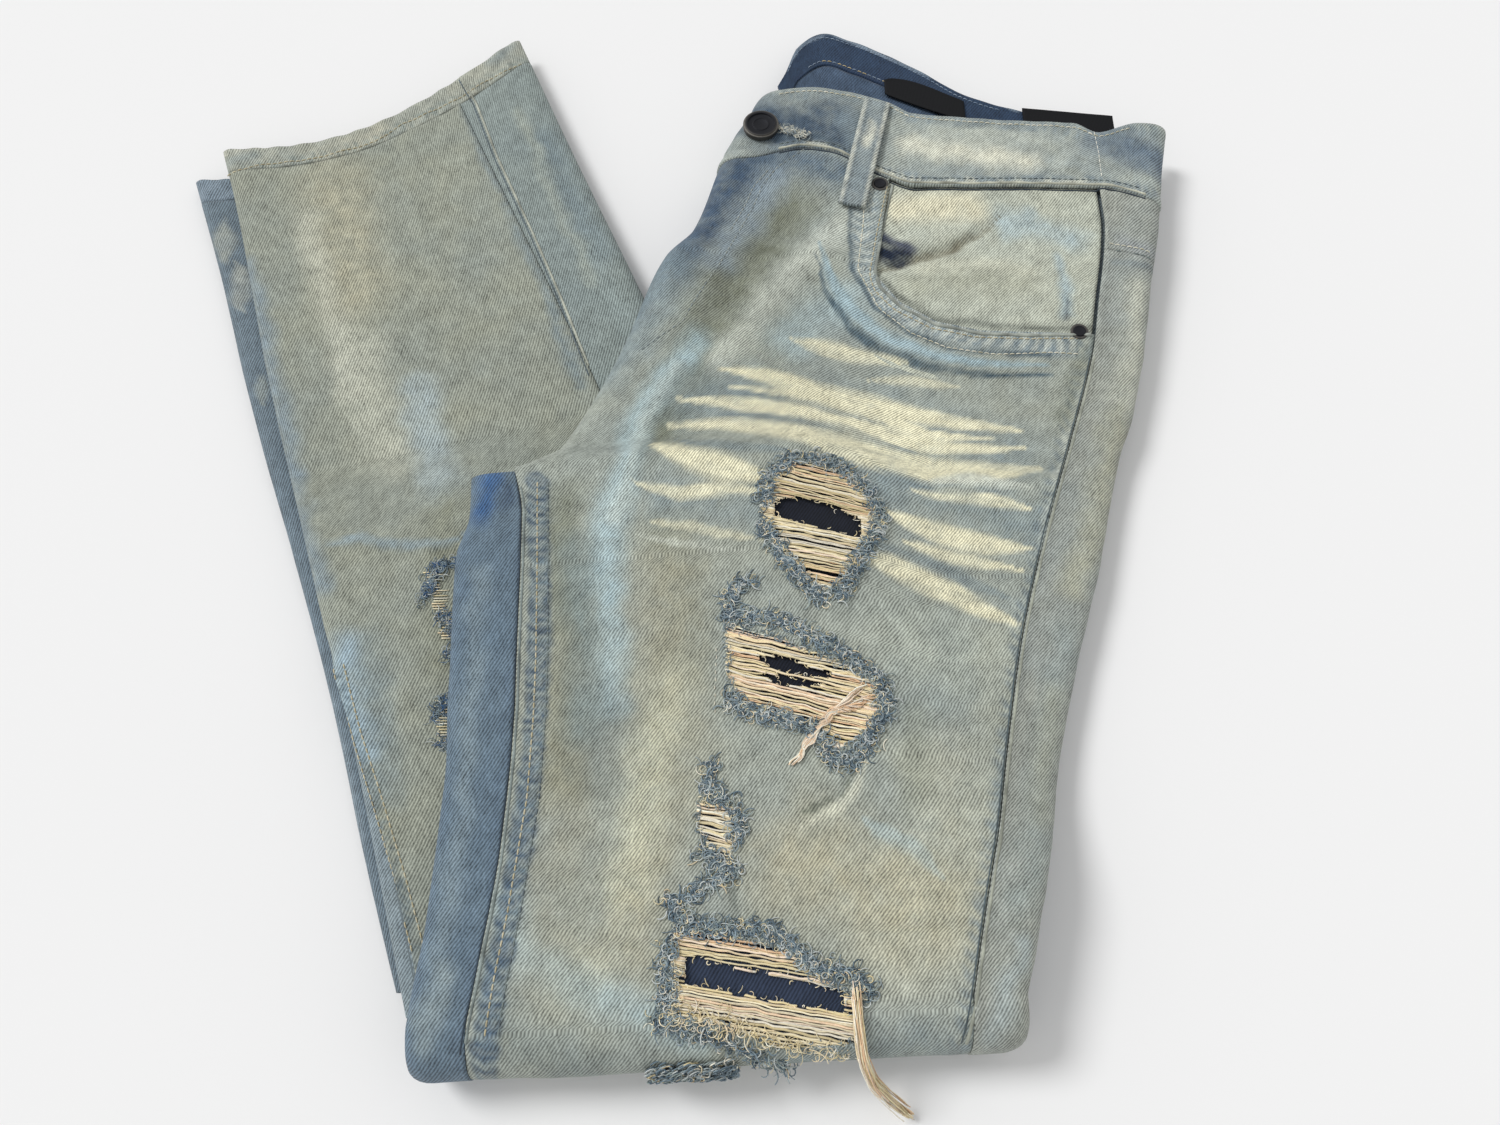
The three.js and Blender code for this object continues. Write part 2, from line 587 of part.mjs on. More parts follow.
/** One lower leg as a pressed tube. */
function lowerTube(left, right, top, half, t0, t1, base) {
  const ring = (t) => {
    const width = left.getPointAt(t).distanceTo(right.getPointAt(t));
    const step = [55, 20, -20, -55].map(rad);
    const edge = (a) => [CORE_SHY + EDGE * (1 - Math.cos(a)), half(t) * (Math.sin(a) - 1)];
    const points = [0, 0.25, 0.5, 0.75, 1].map((s) => [mix(EDGE, width - EDGE, s), -CORE_SHY]);
    for (const a of step) points.push([width - edge(a)[0], edge(a)[1]]);
    for (const s of [1, 0.75, 0.5, 0.25, 0]) points.push([mix(EDGE, width - EDGE, s), null]);
    for (const a of [...step].reverse()) points.push([edge(a)[0], edge(a)[1]]);
    return points.map(([d, h]) => {
      const p = lower(left, right, top, t, d / width, h ?? 0);
      if (h === null) p.z = base;
      return p;
    });
  };
  return loft(rowsBetween(t0, t1, 9).map(ring));
}

function hiddenLayers(recesses) {
  const rows = [WAIST_END, WAIST_END / 2, ...rowsBetween(0.1, 1, 11), ...rowsBetween(1, 2.1, 8).slice(1)];
  let core = loft(rows.map(stackRing));
  const hemEnd = (HEM + SEAM_GAP) / RIGHT_LENGTH;
  core = core.add(lowerTube(rightLeft, rightRight, rightTop, rightHalf, hemEnd, 0.993, 7.1));
  core = core.add(lowerTube(leftLeft, leftRight, leftTop, (t) => leftTop(t) / 2, hemEnd, 0.997, 0));
  for (const recess of recesses) core = core.subtract(recess);
  core = core.subtract(prism(CROTCH_CORNER, CROTCH_CLEAR_Z, SKY));
  return { solid: keep(core).simplify(CHIP) };
}

// ---- Assembly ----------------------------------------------------------------------------------
const denim = { color: 0x8f9c9c, roughness: 0.9, metalness: 0 };
const blueDenim = { color: 0x5f7895, roughness: 0.9, metalness: 0 };
const indigo = { color: 0x2f4a74, roughness: 0.92, metalness: 0 };
const navy = { color: 0x1e2840, roughness: 0.92, metalness: 0 };
const thread = { color: 0xd9c9a4, roughness: 0.9, metalness: 0 };
const blackTape = { color: 0x17181a, roughness: 0.7, metalness: 0 };
const agedMetal = { color: 0x3b3a3a, roughness: 0.45, metalness: 0.9 };

const jeans = new THREE.Group();

/** Where two edges of one cut solid lie on each other, each is drawn back a hair into its own
 *  faces, so that the solid doesn't pinch. */
function unpinched(mesh) {
  const points = Array.from({ length: mesh.numVert }, (_, i) => new THREE.Vector3(...mesh.position(i)));
  const around = points.map(() => []);
  for (let t = 0; t < mesh.numTri; t += 1) {
    const corners = Array.from(mesh.verts(t));
    corners.forEach((v, k) => around[v].push(points[corners[(k + 1) % 3]]));
  }
  const places = new Map();
  points.forEach((p, i) => {
    const key = p.toArray().map((c) => Math.round(c / PINCH)).join();
    places.set(key, [...(places.get(key) ?? []), i]);
  });
  const moved = points.map((p) => p.clone());
  for (const same of places.values()) {
    if (same.length < 2) continue;
    for (const i of same) {
      const middle = around[i].reduce((sum, p) => sum.add(p), new THREE.Vector3()).divideScalar(around[i].length);
      moved[i].add(middle.sub(points[i]).setLength(HAIR));
    }
  }
  return moved.flatMap((p) => p.toArray());
}

function addPiece(name, solid, finish) {
  const mesh = solid.getMesh();
  const geometry = new THREE.BufferGeometry();
  geometry.setAttribute('position', new THREE.Float32BufferAttribute(unpinched(mesh), 3));
  geometry.setIndex(Array.from(mesh.triVerts));
  const piece3d = new THREE.Mesh(geometry, new THREE.MeshStandardMaterial(finish));
  piece3d.name = name;
  jeans.add(piece3d);
}

const band = leftFrontBand();
const frontPanel = clear(leftFrontPanel(), band);
const backBand = leftBackBand();
const thighBacking = underPanel(7, 11, 6, 11, 1);
const made = {
  left_front_panel: [frontPanel, denim],
  left_back_panel_inseam_side: [clear(backInseamSide(), frontPanel), blueDenim],
  left_back_yoke: [clear(outerSide(rowsBetween(frontTopGap, YOKE_V, 3)), band), denim],
  left_back_panel_outseam_side: [clear(outerSide(OUTER_ROWS), frontPanel), denim],
  left_front_waistband: [band, denim],
  front_pocket_facing: [clear(underPanel(0, 5, 7, 13, CLOTH), band), denim],
  rip_backing_thigh: [thighBacking, navy],
  rip_backing_knee: [clear(underPanel(11, 15, 6, 12, 1), thighBacking), navy],
  right_front_panel_lower: [rightFrontLower(), denim],
  right_back_panel_lower: [rightBackOuter(), denim],
  left_back_panel_lower: [leftBackLower(), blueDenim],
  left_back_waistband: [backBand, indigo],
  left_back_panel_inside: [clear(leftBackInside(), backBand), indigo],
  right_back_waistband: [rightBackBand(), indigo],
  right_front_waistband: [rightFrontBand(), denim],
  right_hem: [hemLoop(rightLeft, rightRight, rightTop, rightHalf, RIGHT_LENGTH), denim],
  left_hem: [hemLoop(leftLeft, leftRight, leftTop, (t) => leftTop(t) / 2, LEFT_LENGTH), denim],
};
const recesses = Object.values(made).map(([p]) => p.recess);
Object.assign(made, {
  belt_loop: [beltLoop(), denim],
  waist_button: [button(), agedMetal],
  pocket_rivet_upper: [rivet(110, 164), agedMetal],
  pocket_rivet_lower: [rivet(207, 70), agedMetal],
  size_label: [label(SIZE_LABEL), blackTape],
  waist_label: [label(WAIST_LABEL), blackTape],
  knee_fringe: [kneeFringe(), thread],
  knee_tassel: [kneeTassel(), thread],
  hidden_layers: [hiddenLayers(recesses), blueDenim],
});

for (const [name, [{ solid }, finish]] of Object.entries(made)) addPiece(name, solid, finish);

export default jeans;
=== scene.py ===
"""The looks of a pair of ripped jeans, folded lengthwise and then under at the knees.

Sizes and places are millimetres in the part's own frame (+Z up, lying on z = 0) and become metres
when a mesh is made. Cloth pieces are fine grids of points on the folded form. Dye, wear and dirt
are brushed onto each grid as a colour attribute, and so are painted shade and painted highlights
along some creases, the fly's fold and the pocket, while the twill, slubs and lint come from the
material. Threads, frays and stitches are real strands; thin dark strands in some seams' gaps are
painted shade.
"""

from __future__ import annotations

import json
import logging
import math
from dataclasses import dataclass, field
from enum import Enum
from typing import Callable, Sequence

import bpy
import numpy as np
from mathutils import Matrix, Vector
from mathutils.bvhtree import BVHTree

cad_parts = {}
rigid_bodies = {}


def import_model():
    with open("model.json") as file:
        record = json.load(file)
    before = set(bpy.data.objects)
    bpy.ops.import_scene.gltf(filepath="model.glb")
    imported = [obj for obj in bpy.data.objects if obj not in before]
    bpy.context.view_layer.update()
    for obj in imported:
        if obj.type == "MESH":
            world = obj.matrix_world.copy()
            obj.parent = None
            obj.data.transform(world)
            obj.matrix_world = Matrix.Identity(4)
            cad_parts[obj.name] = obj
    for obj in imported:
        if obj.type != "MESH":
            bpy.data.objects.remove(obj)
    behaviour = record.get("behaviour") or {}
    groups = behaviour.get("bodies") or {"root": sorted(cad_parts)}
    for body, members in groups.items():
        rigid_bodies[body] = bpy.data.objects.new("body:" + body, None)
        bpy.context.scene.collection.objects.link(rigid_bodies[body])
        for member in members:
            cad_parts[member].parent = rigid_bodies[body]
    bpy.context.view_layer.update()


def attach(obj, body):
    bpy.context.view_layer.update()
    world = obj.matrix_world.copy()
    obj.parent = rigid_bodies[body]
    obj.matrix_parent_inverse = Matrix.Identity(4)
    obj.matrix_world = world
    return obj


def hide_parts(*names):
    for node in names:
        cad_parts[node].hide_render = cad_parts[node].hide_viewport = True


LOG = logging.getLogger("jeans")
MM = 0.001
LOWEST = 0.02
Points = Sequence[tuple[float, float]]
Numbers = float | np.ndarray


# ---- Small sums -------------------------------------------------------------------------------
def mix(a: Numbers, b: Numbers, t: Numbers) -> Numbers:
    """The value a share t of the way from a to b."""
    return a + (b - a) * t


def smooth(t: Numbers) -> Numbers:
    """A soft step from 0 to 1 over t from 0 to 1."""
    c = np.clip(t, 0, 1)
    return c * c * (3 - 2 * c)


def linear(colour: str) -> np.ndarray:
    """The linear colour of an sRGB hex value such as "#8FA0A8".

    Args:
        colour: six hex digits after a hash.

    Returns:
        Red, green and blue from 0 to 1.
    """
    srgb = np.array([int(colour[i : i + 2], 16) for i in (1, 3, 5)]) / 255
    return np.where(srgb <= 0.04045, srgb / 12.92, ((srgb + 0.055) / 1.055) ** 2.4)


def inside(outline: Points, x: np.ndarray, y: np.ndarray) -> np.ndarray:
    """Which of the points lie inside a closed outline."""
    odd = np.zeros(np.shape(x), bool)
    corners = list(outline)
    for (ax, ay), (bx, by) in zip(corners, corners[1:] + corners[:1]):
        if ay == by:
            continue
        crosses = (ay > y) != (by > y)
        odd ^= crosses & (x < (bx - ax) * (y - ay) / (by - ay) + ax)
    return odd


def to_route(route: Points, x: np.ndarray, y: np.ndarray) -> tuple[np.ndarray, ...]:
    """The nearest place on a route of points to each of many points.

    Args:
        route: the route's points; one point is a spot.
        x: the points' first coordinates.
        y: their second ones.

    Returns:
        Distance, how far along as a share, and the nearest point's x and y.
    """
    corners = list(route) if len(route) > 1 else [route[0], route[0]]
    best = np.full(np.shape(x), np.inf)
    along, near_x, near_y = np.zeros_like(best), np.zeros_like(best), np.zeros_like(best)
    for i, ((ax, ay), (bx, by)) in enumerate(zip(corners, corners[1:])):
        dx, dy = bx - ax, by - ay
        t = np.clip(((x - ax) * dx + (y - ay) * dy) / max(dx * dx + dy * dy, 1e-9), 0, 1)
        px, py = ax + t * dx, ay + t * dy
        d = np.hypot(x - px, y - py)
        closer = d < best
        best = np.where(closer, d, best)
        along = np.where(closer, (i + t) / (len(corners) - 1), along)
        near_x, near_y = np.where(closer, px, near_x), np.where(closer, py, near_y)
    return best, along, near_x, near_y


def cloud(x: np.ndarray, y: np.ndarray, size: float, seed: int) -> np.ndarray:
    """Soft noise from -1 to 1 whose lumps are about `size` millimetres across."""
    cells = 97
    lattice = np.random.default_rng(seed).uniform(-1, 1, (cells, cells))
    u, v = np.asarray(x) / size + 500, np.asarray(y) / size + 500
    i, j = np.floor(u).astype(int), np.floor(v).astype(int)
    a, b = smooth(u - i), smooth(v - j)
    i, j = i % cells, j % cells
    k, m = (i + 1) % cells, (j + 1) % cells
    low = mix(lattice[i, j], lattice[k, j], a)
    return mix(low, mix(lattice[i, m], lattice[k, m], a), b)


class Through:
    """A smooth function through a few points, straight past its ends."""

    def __init__(self, points: Points) -> None:
        """Sorts the points and gives each a slope that never overshoots."""
        p = np.array(sorted(points), float)
        self.x, self.y = p[:, 0], p[:, 1]
        rise = np.diff(self.y) / np.diff(self.x)
        a, b = rise[:-1], rise[1:]
        inner = np.where(a * b <= 0, 0, 2 * a * b / np.where(a + b == 0, 1, a + b))
        self.slope = np.concatenate([rise[:1], inner, rise[-1:]])

    def __call__(self, x: Numbers) -> Numbers:
        """The function's value at x, a number or an array."""
        i = np.clip(np.searchsorted(self.x, x) - 1, 0, len(self.x) - 2)
        w = self.x[i + 1] - self.x[i]
        t = (np.asarray(x, float) - self.x[i]) / w
        c = np.clip(t, 0, 1)
        start = self.y[i] * (1 + 2 * c) + self.slope[i] * w * c
        end = self.y[i + 1] * (3 - 2 * c) + self.slope[i + 1] * w * (c - 1)
        past = self.slope[i] * w * np.minimum(t, 0) + self.slope[i + 1] * w * np.maximum(t - 1, 0)
        return start * (1 - c) ** 2 + end * c * c + past


class Edge:
    """A leg's edge in plan: a centripetal Catmull-Rom curve, read by its length."""

    def __init__(self, points: Points) -> None:
        """Samples the curve closely and measures it."""
        p = np.array(points, float)
        p = np.vstack([2 * p[0] - p[1], p, 2 * p[-1] - p[-2]])
        t = np.linspace(0, 1, 61)[:, None]
        pieces = []
        for a, b, c, d in zip(p, p[1:], p[2:], p[3:]):
            k0, k1, k2 = (math.sqrt(math.dist(m, n)) for m, n in ((a, b), (b, c), (c, d)))
            start = ((b - a) / k0 - (c - a) / (k0 + k1) + (c - b) / k1) * k1
            end = ((c - b) / k1 - (d - b) / (k1 + k2) + (d - c) / k2) * k1
            bow = (2 * b - 2 * c + start + end) * t**3 + (3 * c - 3 * b - 2 * start - end) * t**2
            pieces.append((bow + start * t + b)[:-1])
        self.line = np.vstack([*pieces, p[-2:-1]])
        steps = np.linalg.norm(np.diff(self.line, axis=0), axis=1)
        self.along = np.concatenate([[0], np.cumsum(steps)])
        self.length = self.along[-1]

    def at(self, t: np.ndarray) -> tuple[np.ndarray, np.ndarray]:
        """x and y at a share t of the length."""
        s = np.asarray(t, float) * self.length
        return np.interp(s, self.along, self.line[:, 0]), np.interp(s, self.along, self.line[:, 1])


# ---- The folded form --------------------------------------------------------------------------
@dataclass
class FoldedForm:
    """The folded jeans: curves in plan, and the heights of the layers over them."""

    leg: float = 10.0
    hip_leg: float = 13.5
    edge: float = 9.0
    fly_edge: float = 12.0
    ramp: float = 90.0
    seam_gap: float = 0.3
    cloth: float = 1.5
    hem: float = 17.0
    hem_dip: float = 27.0
    crotch_y: float = -17.0
    upper_length: float = 340.0
    right_length: float = 487.0
    left_length: float = 473.0
    bend_radius: float = field(init=False)

    def __post_init__(self) -> None:
        """Draws the curves. Those down the leg give x for y; those across it give y for x."""
        self.bend_radius = 2 * self.leg
        self.centre_front = Through([(229, 43), (189, 25), (127, 9), (105, -5), (53, -23), (17, -39),
                                     (-8, -54), (-15, -62), (-17, -68)])
        self.leg_edge = Through([(-19, -90), (-40, -89), (-60, -93), (-118, -90), (-167, -87),
                                 (-217, -88), (-276, -93)])
        self.inseam = Through([(-18, -69), (-39, -64), (-98, -61), (-150, -59), (-188, -60),
                               (-237, -65), (-276, -70)])
        self.outer_edge = Through([(212, 273), (170, 264), (137, 258), (96, 248), (43, 236), (-3, 220),
                                   (-53, 205), (-93, 192), (-162, 171), (-218, 155), (-262, 142)])
        self.outseam = Through([(165, 228), (143, 228), (125, 226), (90, 219), (60, 213), (10, 197),
                                (-41, 179), (-86, 165), (-162, 146), (-208, 134), (-264, 121)])
        self.band_seam = Through([(20, 180), (42, 183), (70, 190), (84, 188), (109, 172), (130, 163),
                                  (180, 163), (227, 162), (265, 150)])
        self.band_top = Through([(36, 228), (54, 231), (75, 234), (96, 230), (117, 222), (131, 214),
                                 (156, 211), (200, 208), (219, 207), (232, 200), (255, 207), (275, 205)])
        self.back_top = Through([(52, 241), (60, 258), (68, 280), (84, 292), (99, 286), (121, 274),
                                 (143, 259), (160, 245), (193, 231), (266, 210)])
        self.right_left = Edge([(-257, 200), (-242, 160), (-205, 49), (-163, -66), (-132, -154), (-98, -256)])
        self.right_right = Edge([(-97, 287), (-53, 184), (22, 15), (141, -243)])
        self.left_left = Edge([(-273, 185), (-248, 124), (-212, 30), (-171, -67), (-147, -128),
                               (-124, -193), (-100, -256)])
        self.left_right = Edge([(-116, 268), (-70, 172), (10, 0), (138, -243)])
        self.crotch_v = float(self.row_of(-69.0, self.crotch_y))

    @property
    def first_row(self) -> float:
        """The row just below the band's seam, half a gap down."""
        return self.seam_gap / 2 / self.upper_length

    def bend_axis(self, x: Numbers) -> Numbers:
        """y of the bend's axis at x."""
        return -272 + 0.05 * x + self.bend_radius

    def over_lower_legs(self, x: Numbers, y: Numbers) -> Numbers:
        """How far a place lies over the lower legs, from 0 beside them to 1 on them."""
        side = (x - 143) * -0.916 + (y + 262) * -0.401
        near_bend = 60 * smooth((-150 - y) / 90)
        return smooth((side + near_bend + self.ramp) / self.ramp)

    def half_stack(self, y: Numbers) -> Numbers:
        """Half the height of the two upper legs at y."""
        return mix(self.leg, self.hip_leg, smooth((y + 20) / 150))

    def upper_top(self, x: Numbers, y: Numbers) -> Numbers:
        """Height of the top skin over the surface, before the bend."""
        return 2 * self.leg * self.over_lower_legs(x, y) + 2 * self.half_stack(y)

    def skin(self, x: Numbers, y: Numbers) -> Numbers:
        """Height of the top skin at a place in plan, round the bend too."""
        drop = np.clip(self.bend_axis(x) - y, 0, self.bend_radius)
        bent = self.bend_radius + np.sqrt(self.bend_radius**2 - drop**2)
        return np.where(drop > 0, bent, self.upper_top(x, y))

    def row_y(self, x: Numbers, v: Numbers) -> Numbers:
        """y on row v: -1 the band's top edge, 0 its seam, 1 where the bend begins."""
        above = mix(self.band_seam(x), self.band_top(x), -v)
        below = mix(self.band_seam(x), self.bend_axis(x), np.minimum(v, 1))
        return np.where(v < 0, above, below)

    def row_of(self, x: Numbers, y: Numbers) -> Numbers:
        """The row through a place, between the band's seam and the bend."""
        return np.clip((self.band_seam(x) - y) / (self.band_seam(x) - self.bend_axis(x)), 0, 1)

    def crossing(self, curve: Through, v: np.ndarray) -> np.ndarray:
        """x where a curve down the leg crosses row v."""
        x = np.full(np.shape(v), float(curve(0.0)))
        for _ in range(14):
            x = mix(x, curve(self.row_y(x, v)), 0.7)
        return x

    def upper(self, v: Numbers, x: Numbers, h: Numbers) -> np.ndarray:
        """Points of the upper legs: row v, place x, height h from the top skin. Past 1 the row
        turns round the bend, half a turn by v = 2."""
        v, x, h = np.broadcast_arrays(v, x, h)
        y = self.row_y(x, v)
        flat = np.stack([x, y, self.upper_top(x, y) + h], -1)
        turn = (v - 1) * math.pi
        r = self.bend_radius + h
        bent = np.stack([x, y - r * np.sin(turn), self.bend_radius + r * np.cos(turn)], -1)
        return np.where((v <= 1)[..., None], flat, bent)

    def right_top(self, t: Numbers) -> Numbers:
        """Top of the right lower leg, from hem (0) to bend (1)."""
        return mix(16, 20, t)

    def left_top(self, t: Numbers) -> Numbers:
        """Top of the left lower leg."""
        return mix(8.4, 10, t)

    def right_half(self, t: Numbers) -> Numbers:
        """Half the thickness of the right lower leg."""
        return (self.right_top(t) - self.left_top(t) - self.seam_gap) / 2

    def left_half(self, t: Numbers) -> Numbers:
        """Half the thickness of the left lower leg."""
        return self.left_top(t) / 2

    def lower(self, left: Edge, right: Edge, top: Callable, t: Numbers, d: Numbers, h: Numbers) -> np.ndarray:
        """Points of a lower leg: t from hem to bend, d millimetres in from the left edge, or from
        the right edge where d is negative, height h from its top."""
        t, d, h = np.broadcast_arrays(t, d, h)
        (ax, ay), (bx, by) = left.at(t), right.at(t)
        width = np.hypot(bx - ax, by - ay)
        w = d / width
        dip = self.hem_dip * np.sin(math.pi * np.clip(w, 0, 1)) * (1 - t) ** 4
        return np.stack([mix(ax, bx, w), mix(ay, by, w) - dip, top(t) + h], -1)

    def leg_width(self, left: Edge, right: Edge, t: Numbers) -> np.ndarray:
        """Distance between a lower leg's edges at t."""
        (ax, ay), (bx, by) = left.at(t), right.at(t)
        return np.hypot(bx - ax, by - ay)


def roll(angle: Numbers, reach: float, half: Numbers) -> Numbers:
    """Distance in from a pressed edge, and height from the top, at an angle round it."""
    return reach * (1 - np.cos(angle)), half * (np.sin(angle) - 1)


def normals(grid: np.ndarray) -> np.ndarray:
    """Unit normals of a grid of points, on the side that faces up or out."""
    along, across = np.gradient(grid, axis=0), np.gradient(grid, axis=1)
    n = np.cross(along, across)
    return n / np.maximum(np.linalg.norm(n, axis=-1, keepdims=True), 1e-9)


# ---- Wear, dirt, painted shade and highlights, and creases, brushed on ------------------------
class Tip(Enum):
    """How a brush mark ends and how sharp its edge is: (narrows at the ends, edge sharpness)."""

    SOFT = (False, 1.0)
    WISP = (True, 1.3)
    WHISKER = (True, 1.5)
    LINE = (False, 2.0)


@dataclass(frozen=True)
class Mark:
    """One mark in a colour: a route in plan, its half width, and how strongly it covers."""

    colour: str
    amount: float
    width: float
    route: Points
    tip: Tip = Tip.SOFT

    def cover(self, x: np.ndarray, y: np.ndarray) -> np.ndarray:
        """How much of the mark lies at each point, 0 to 1."""
        narrows, sharp = self.tip.value
        d, along, _, _ = to_route(self.route, x, y)
        width = self.width
        if narrows:
            width = self.width * (0.10 + 0.90 * np.sin(math.pi * np.clip(along, 0.02, 0.98)) ** 0.9)
        return self.amount * smooth(sharp * (1 - d / width))


@dataclass(frozen=True)
class Pucker:
    """Light and dark patches that a row of stitching pulls up along a seam."""

    colour: str
    amount: float
    width: float
    route: Points
    pitch: float = 7.0
    tip: Tip = Tip.LINE

    def cover(self, x: np.ndarray, y: np.ndarray) -> np.ndarray:
        """How much of the patches lies at each point, 0 to 1."""
        d, along, _, _ = to_route(self.route, x, y)
        length = sum(math.dist(a, b) for a, b in zip(self.route, self.route[1:]))
        beat = np.sin(along * length * math.tau / self.pitch + 3.5 * cloud(x, y, 9, 37) + d / 2.2)
        return self.amount * smooth(1.6 * (1 - d / self.width)) * smooth(0.5 + 0.75 * beat)


@dataclass(frozen=True)
class Crease:
    """A soft ridge (height above 0) or trough (below 0) along a route in plan."""

    height: float
    width: float
    route: Points

    def rise(self, x: np.ndarray, y: np.ndarray) -> np.ndarray:
        """Height of the crease at each point, in millimetres."""
        d, along, _, _ = to_route(self.route, x, y)
        ends = np.sin(math.pi * np.clip(along, 0.03, 0.97)) ** 0.5 if len(self.route) > 1 else 1
        return self.height * ends * smooth(1 - d / self.width)


@dataclass(frozen=True)
class Wash:
    """A washed cloth's colours: its ground, clouds of a second tint, and the marks on it."""

    ground: str
    tint: str
    marks: Sequence[Mark] = ()
    cloud_size: float = 26.0
    cloud_amount: float = 0.45
    seed: int = 3

    def paint(self, x: np.ndarray, y: np.ndarray) -> np.ndarray:
        """Linear colour at each point. Marks wander a little, as brushed dye does."""
        wx = x + 2.6 * cloud(x, y, 11, 21) + 1.0 * cloud(x, y, 4, 22)
        wy = y + 2.0 * cloud(x, y, 13, 23) + 0.8 * cloud(x, y, 3.5, 24)
        share = 0.5 + 0.5 * (0.6 * cloud(x, y, self.cloud_size, self.seed)
                             + 0.4 * cloud(x, y, self.cloud_size / 3, self.seed + 1))
        share = (self.cloud_amount * share)[..., None]
        colour = mix(linear(self.ground), linear(self.tint), share)
        for mark in self.marks:
            patchy = 1 + 0.25 * cloud(x, y, 7, 31) + 0.18 * cloud(x, y, 2.6, 32)
            calm = 1.0
            if mark.tip in (Tip.WHISKER, Tip.LINE):
                patchy = 0.9 + 0.28 * cloud(x, (y + 0.14 * x) * 8, 16, 35) + 0.16 * cloud(x, y, 3, 32)
                calm = 0.35
            cover = np.clip(mark.cover(mix(x, wx, calm), mix(y, wy, calm)) * patchy, 0, 1)[..., None]
            colour = mix(colour, linear(mark.colour), cover)
        return colour * (1 + 0.05 * cloud(x, y, 3.2, 33) + 0.04 * cloud(x, y, 60, 34))[..., None]


# ---- Meshes -----------------------------------------------------------------------------------
def make_object(name: str, points: np.ndarray, faces: np.ndarray, colours: np.ndarray | None = None,
                uv: np.ndarray | None = None, lowest: float = LOWEST) -> bpy.types.Object:
    """A mesh object in the scene, smooth, with its colour attribute and cloth coordinates.

    Args:
        name: the piece's name.
        points: its points in millimetres.
        faces: rows of point numbers, three or four to a row.
        colours: linear colour of each point.
        uv: cloth coordinates of each point, in metres.
        lowest: height that no point goes below, in millimetres.

    Returns:
        The new object, at the origin.
    """
    mesh = bpy.data.meshes.new(name)
    size = faces.shape[1]
    points[:, 2] = np.maximum(points[:, 2], lowest)
    mesh.vertices.add(len(points))
    mesh.vertices.foreach_set("co", (points * MM).astype(np.float32).ravel())
    mesh.loops.add(faces.size)
    mesh.loops.foreach_set("vertex_index", faces.astype(np.int32).ravel())
    mesh.polygons.add(len(faces))
    mesh.polygons.foreach_set("loop_start", np.arange(0, faces.size, size, dtype=np.int32))
    mesh.update(calc_edges=True)
    mesh.validate()
    mesh.shade_smooth()
    if colours is not None:
        layer = mesh.attributes.new("paint", "FLOAT_COLOR", "POINT")
        rgba = np.concatenate([np.clip(colours, 0, 1), np.ones((len(points), 1))], 1)
        layer.data.foreach_set("color", rgba.astype(np.float32).ravel())
    if uv is not None:
        layer = mesh.uv_layers.new(name="cloth")
        loops = np.zeros(len(mesh.loops), np.int32)
        mesh.loops.foreach_get("vertex_index", loops)
        layer.data.foreach_set("uv", uv[loops].astype(np.float32).ravel())
    obj = bpy.data.objects.new(name, mesh)
    bpy.context.scene.collection.objects.link(obj)
    return obj


def cloth_coordinates(grid: np.ndarray) -> np.ndarray:
    """Distance across and along the cloth at each point of a grid, in metres."""
    across = np.linalg.norm(np.diff(grid, axis=1), axis=2)
    across = np.concatenate([np.zeros((len(grid), 1)), np.cumsum(across, axis=1)], 1)
    middle = grid.shape[1] // 2
    step = np.linalg.norm(np.diff(grid[:, middle], axis=0), axis=1)
    along = np.concatenate([[0], np.cumsum(step)])[:, None] + 0 * across
    return np.stack([across - across[:, middle : middle + 1] + 0.5 / MM, -along], -1) * MM


def wall(name: str, grid: np.ndarray, colours: np.ndarray, out: float = 0.0, inward: float = 1.5,
         keep: np.ndarray | None = None) -> bpy.types.Object:
    """A closed sheet of cloth over a grid.

    Args:
        name: the piece's name.
        grid: rows and columns of points on the cloth's upper face, in millimetres.
        colours: linear colour of each grid point.
        out: how far the upper face stands proud of the grid.
        inward: how far the under face lies below it.
        keep: which of the grid's faces are cloth; all of them if left out.

    Returns:
        The new object.
    """
    rows, cols = grid.shape[:2]
    n = normals(grid)
    number = np.arange(rows * cols).reshape(rows, cols)
    a, b, c, d = number[:-1, :-1], number[:-1, 1:], number[1:, 1:], number[1:, :-1]
    kept = np.ones(a.shape, bool) if keep is None else keep
    top = np.stack([a[kept], d[kept], c[kept], b[kept]], 1)
    under = top[:, ::-1] + rows * cols
    edges = np.concatenate([top[:, [i, (i + 1) % 4]] for i in range(4)])
    key = edges[:, 0].astype(np.int64) * rows * cols + edges[:, 1]
    back = edges[:, 1].astype(np.int64) * rows * cols + edges[:, 0]
    rim = edges[~np.isin(key, back)]
    sides = np.stack([rim[:, 1], rim[:, 0], rim[:, 0] + rows * cols, rim[:, 1] + rows * cols], 1)
    points = np.concatenate([(grid + n * out).reshape(-1, 3), (grid - n * inward).reshape(-1, 3)])
    faces = np.concatenate([top, under, sides])
    used, faces = np.unique(faces, return_inverse=True)
    faces = faces.reshape(-1, 4)
    paint = np.concatenate([colours.reshape(-1, 3)] * 2)
    uv = np.concatenate([cloth_coordinates(grid).reshape(-1, 2)] * 2)
    return make_object(name, points[used], faces, paint[used], uv[used])


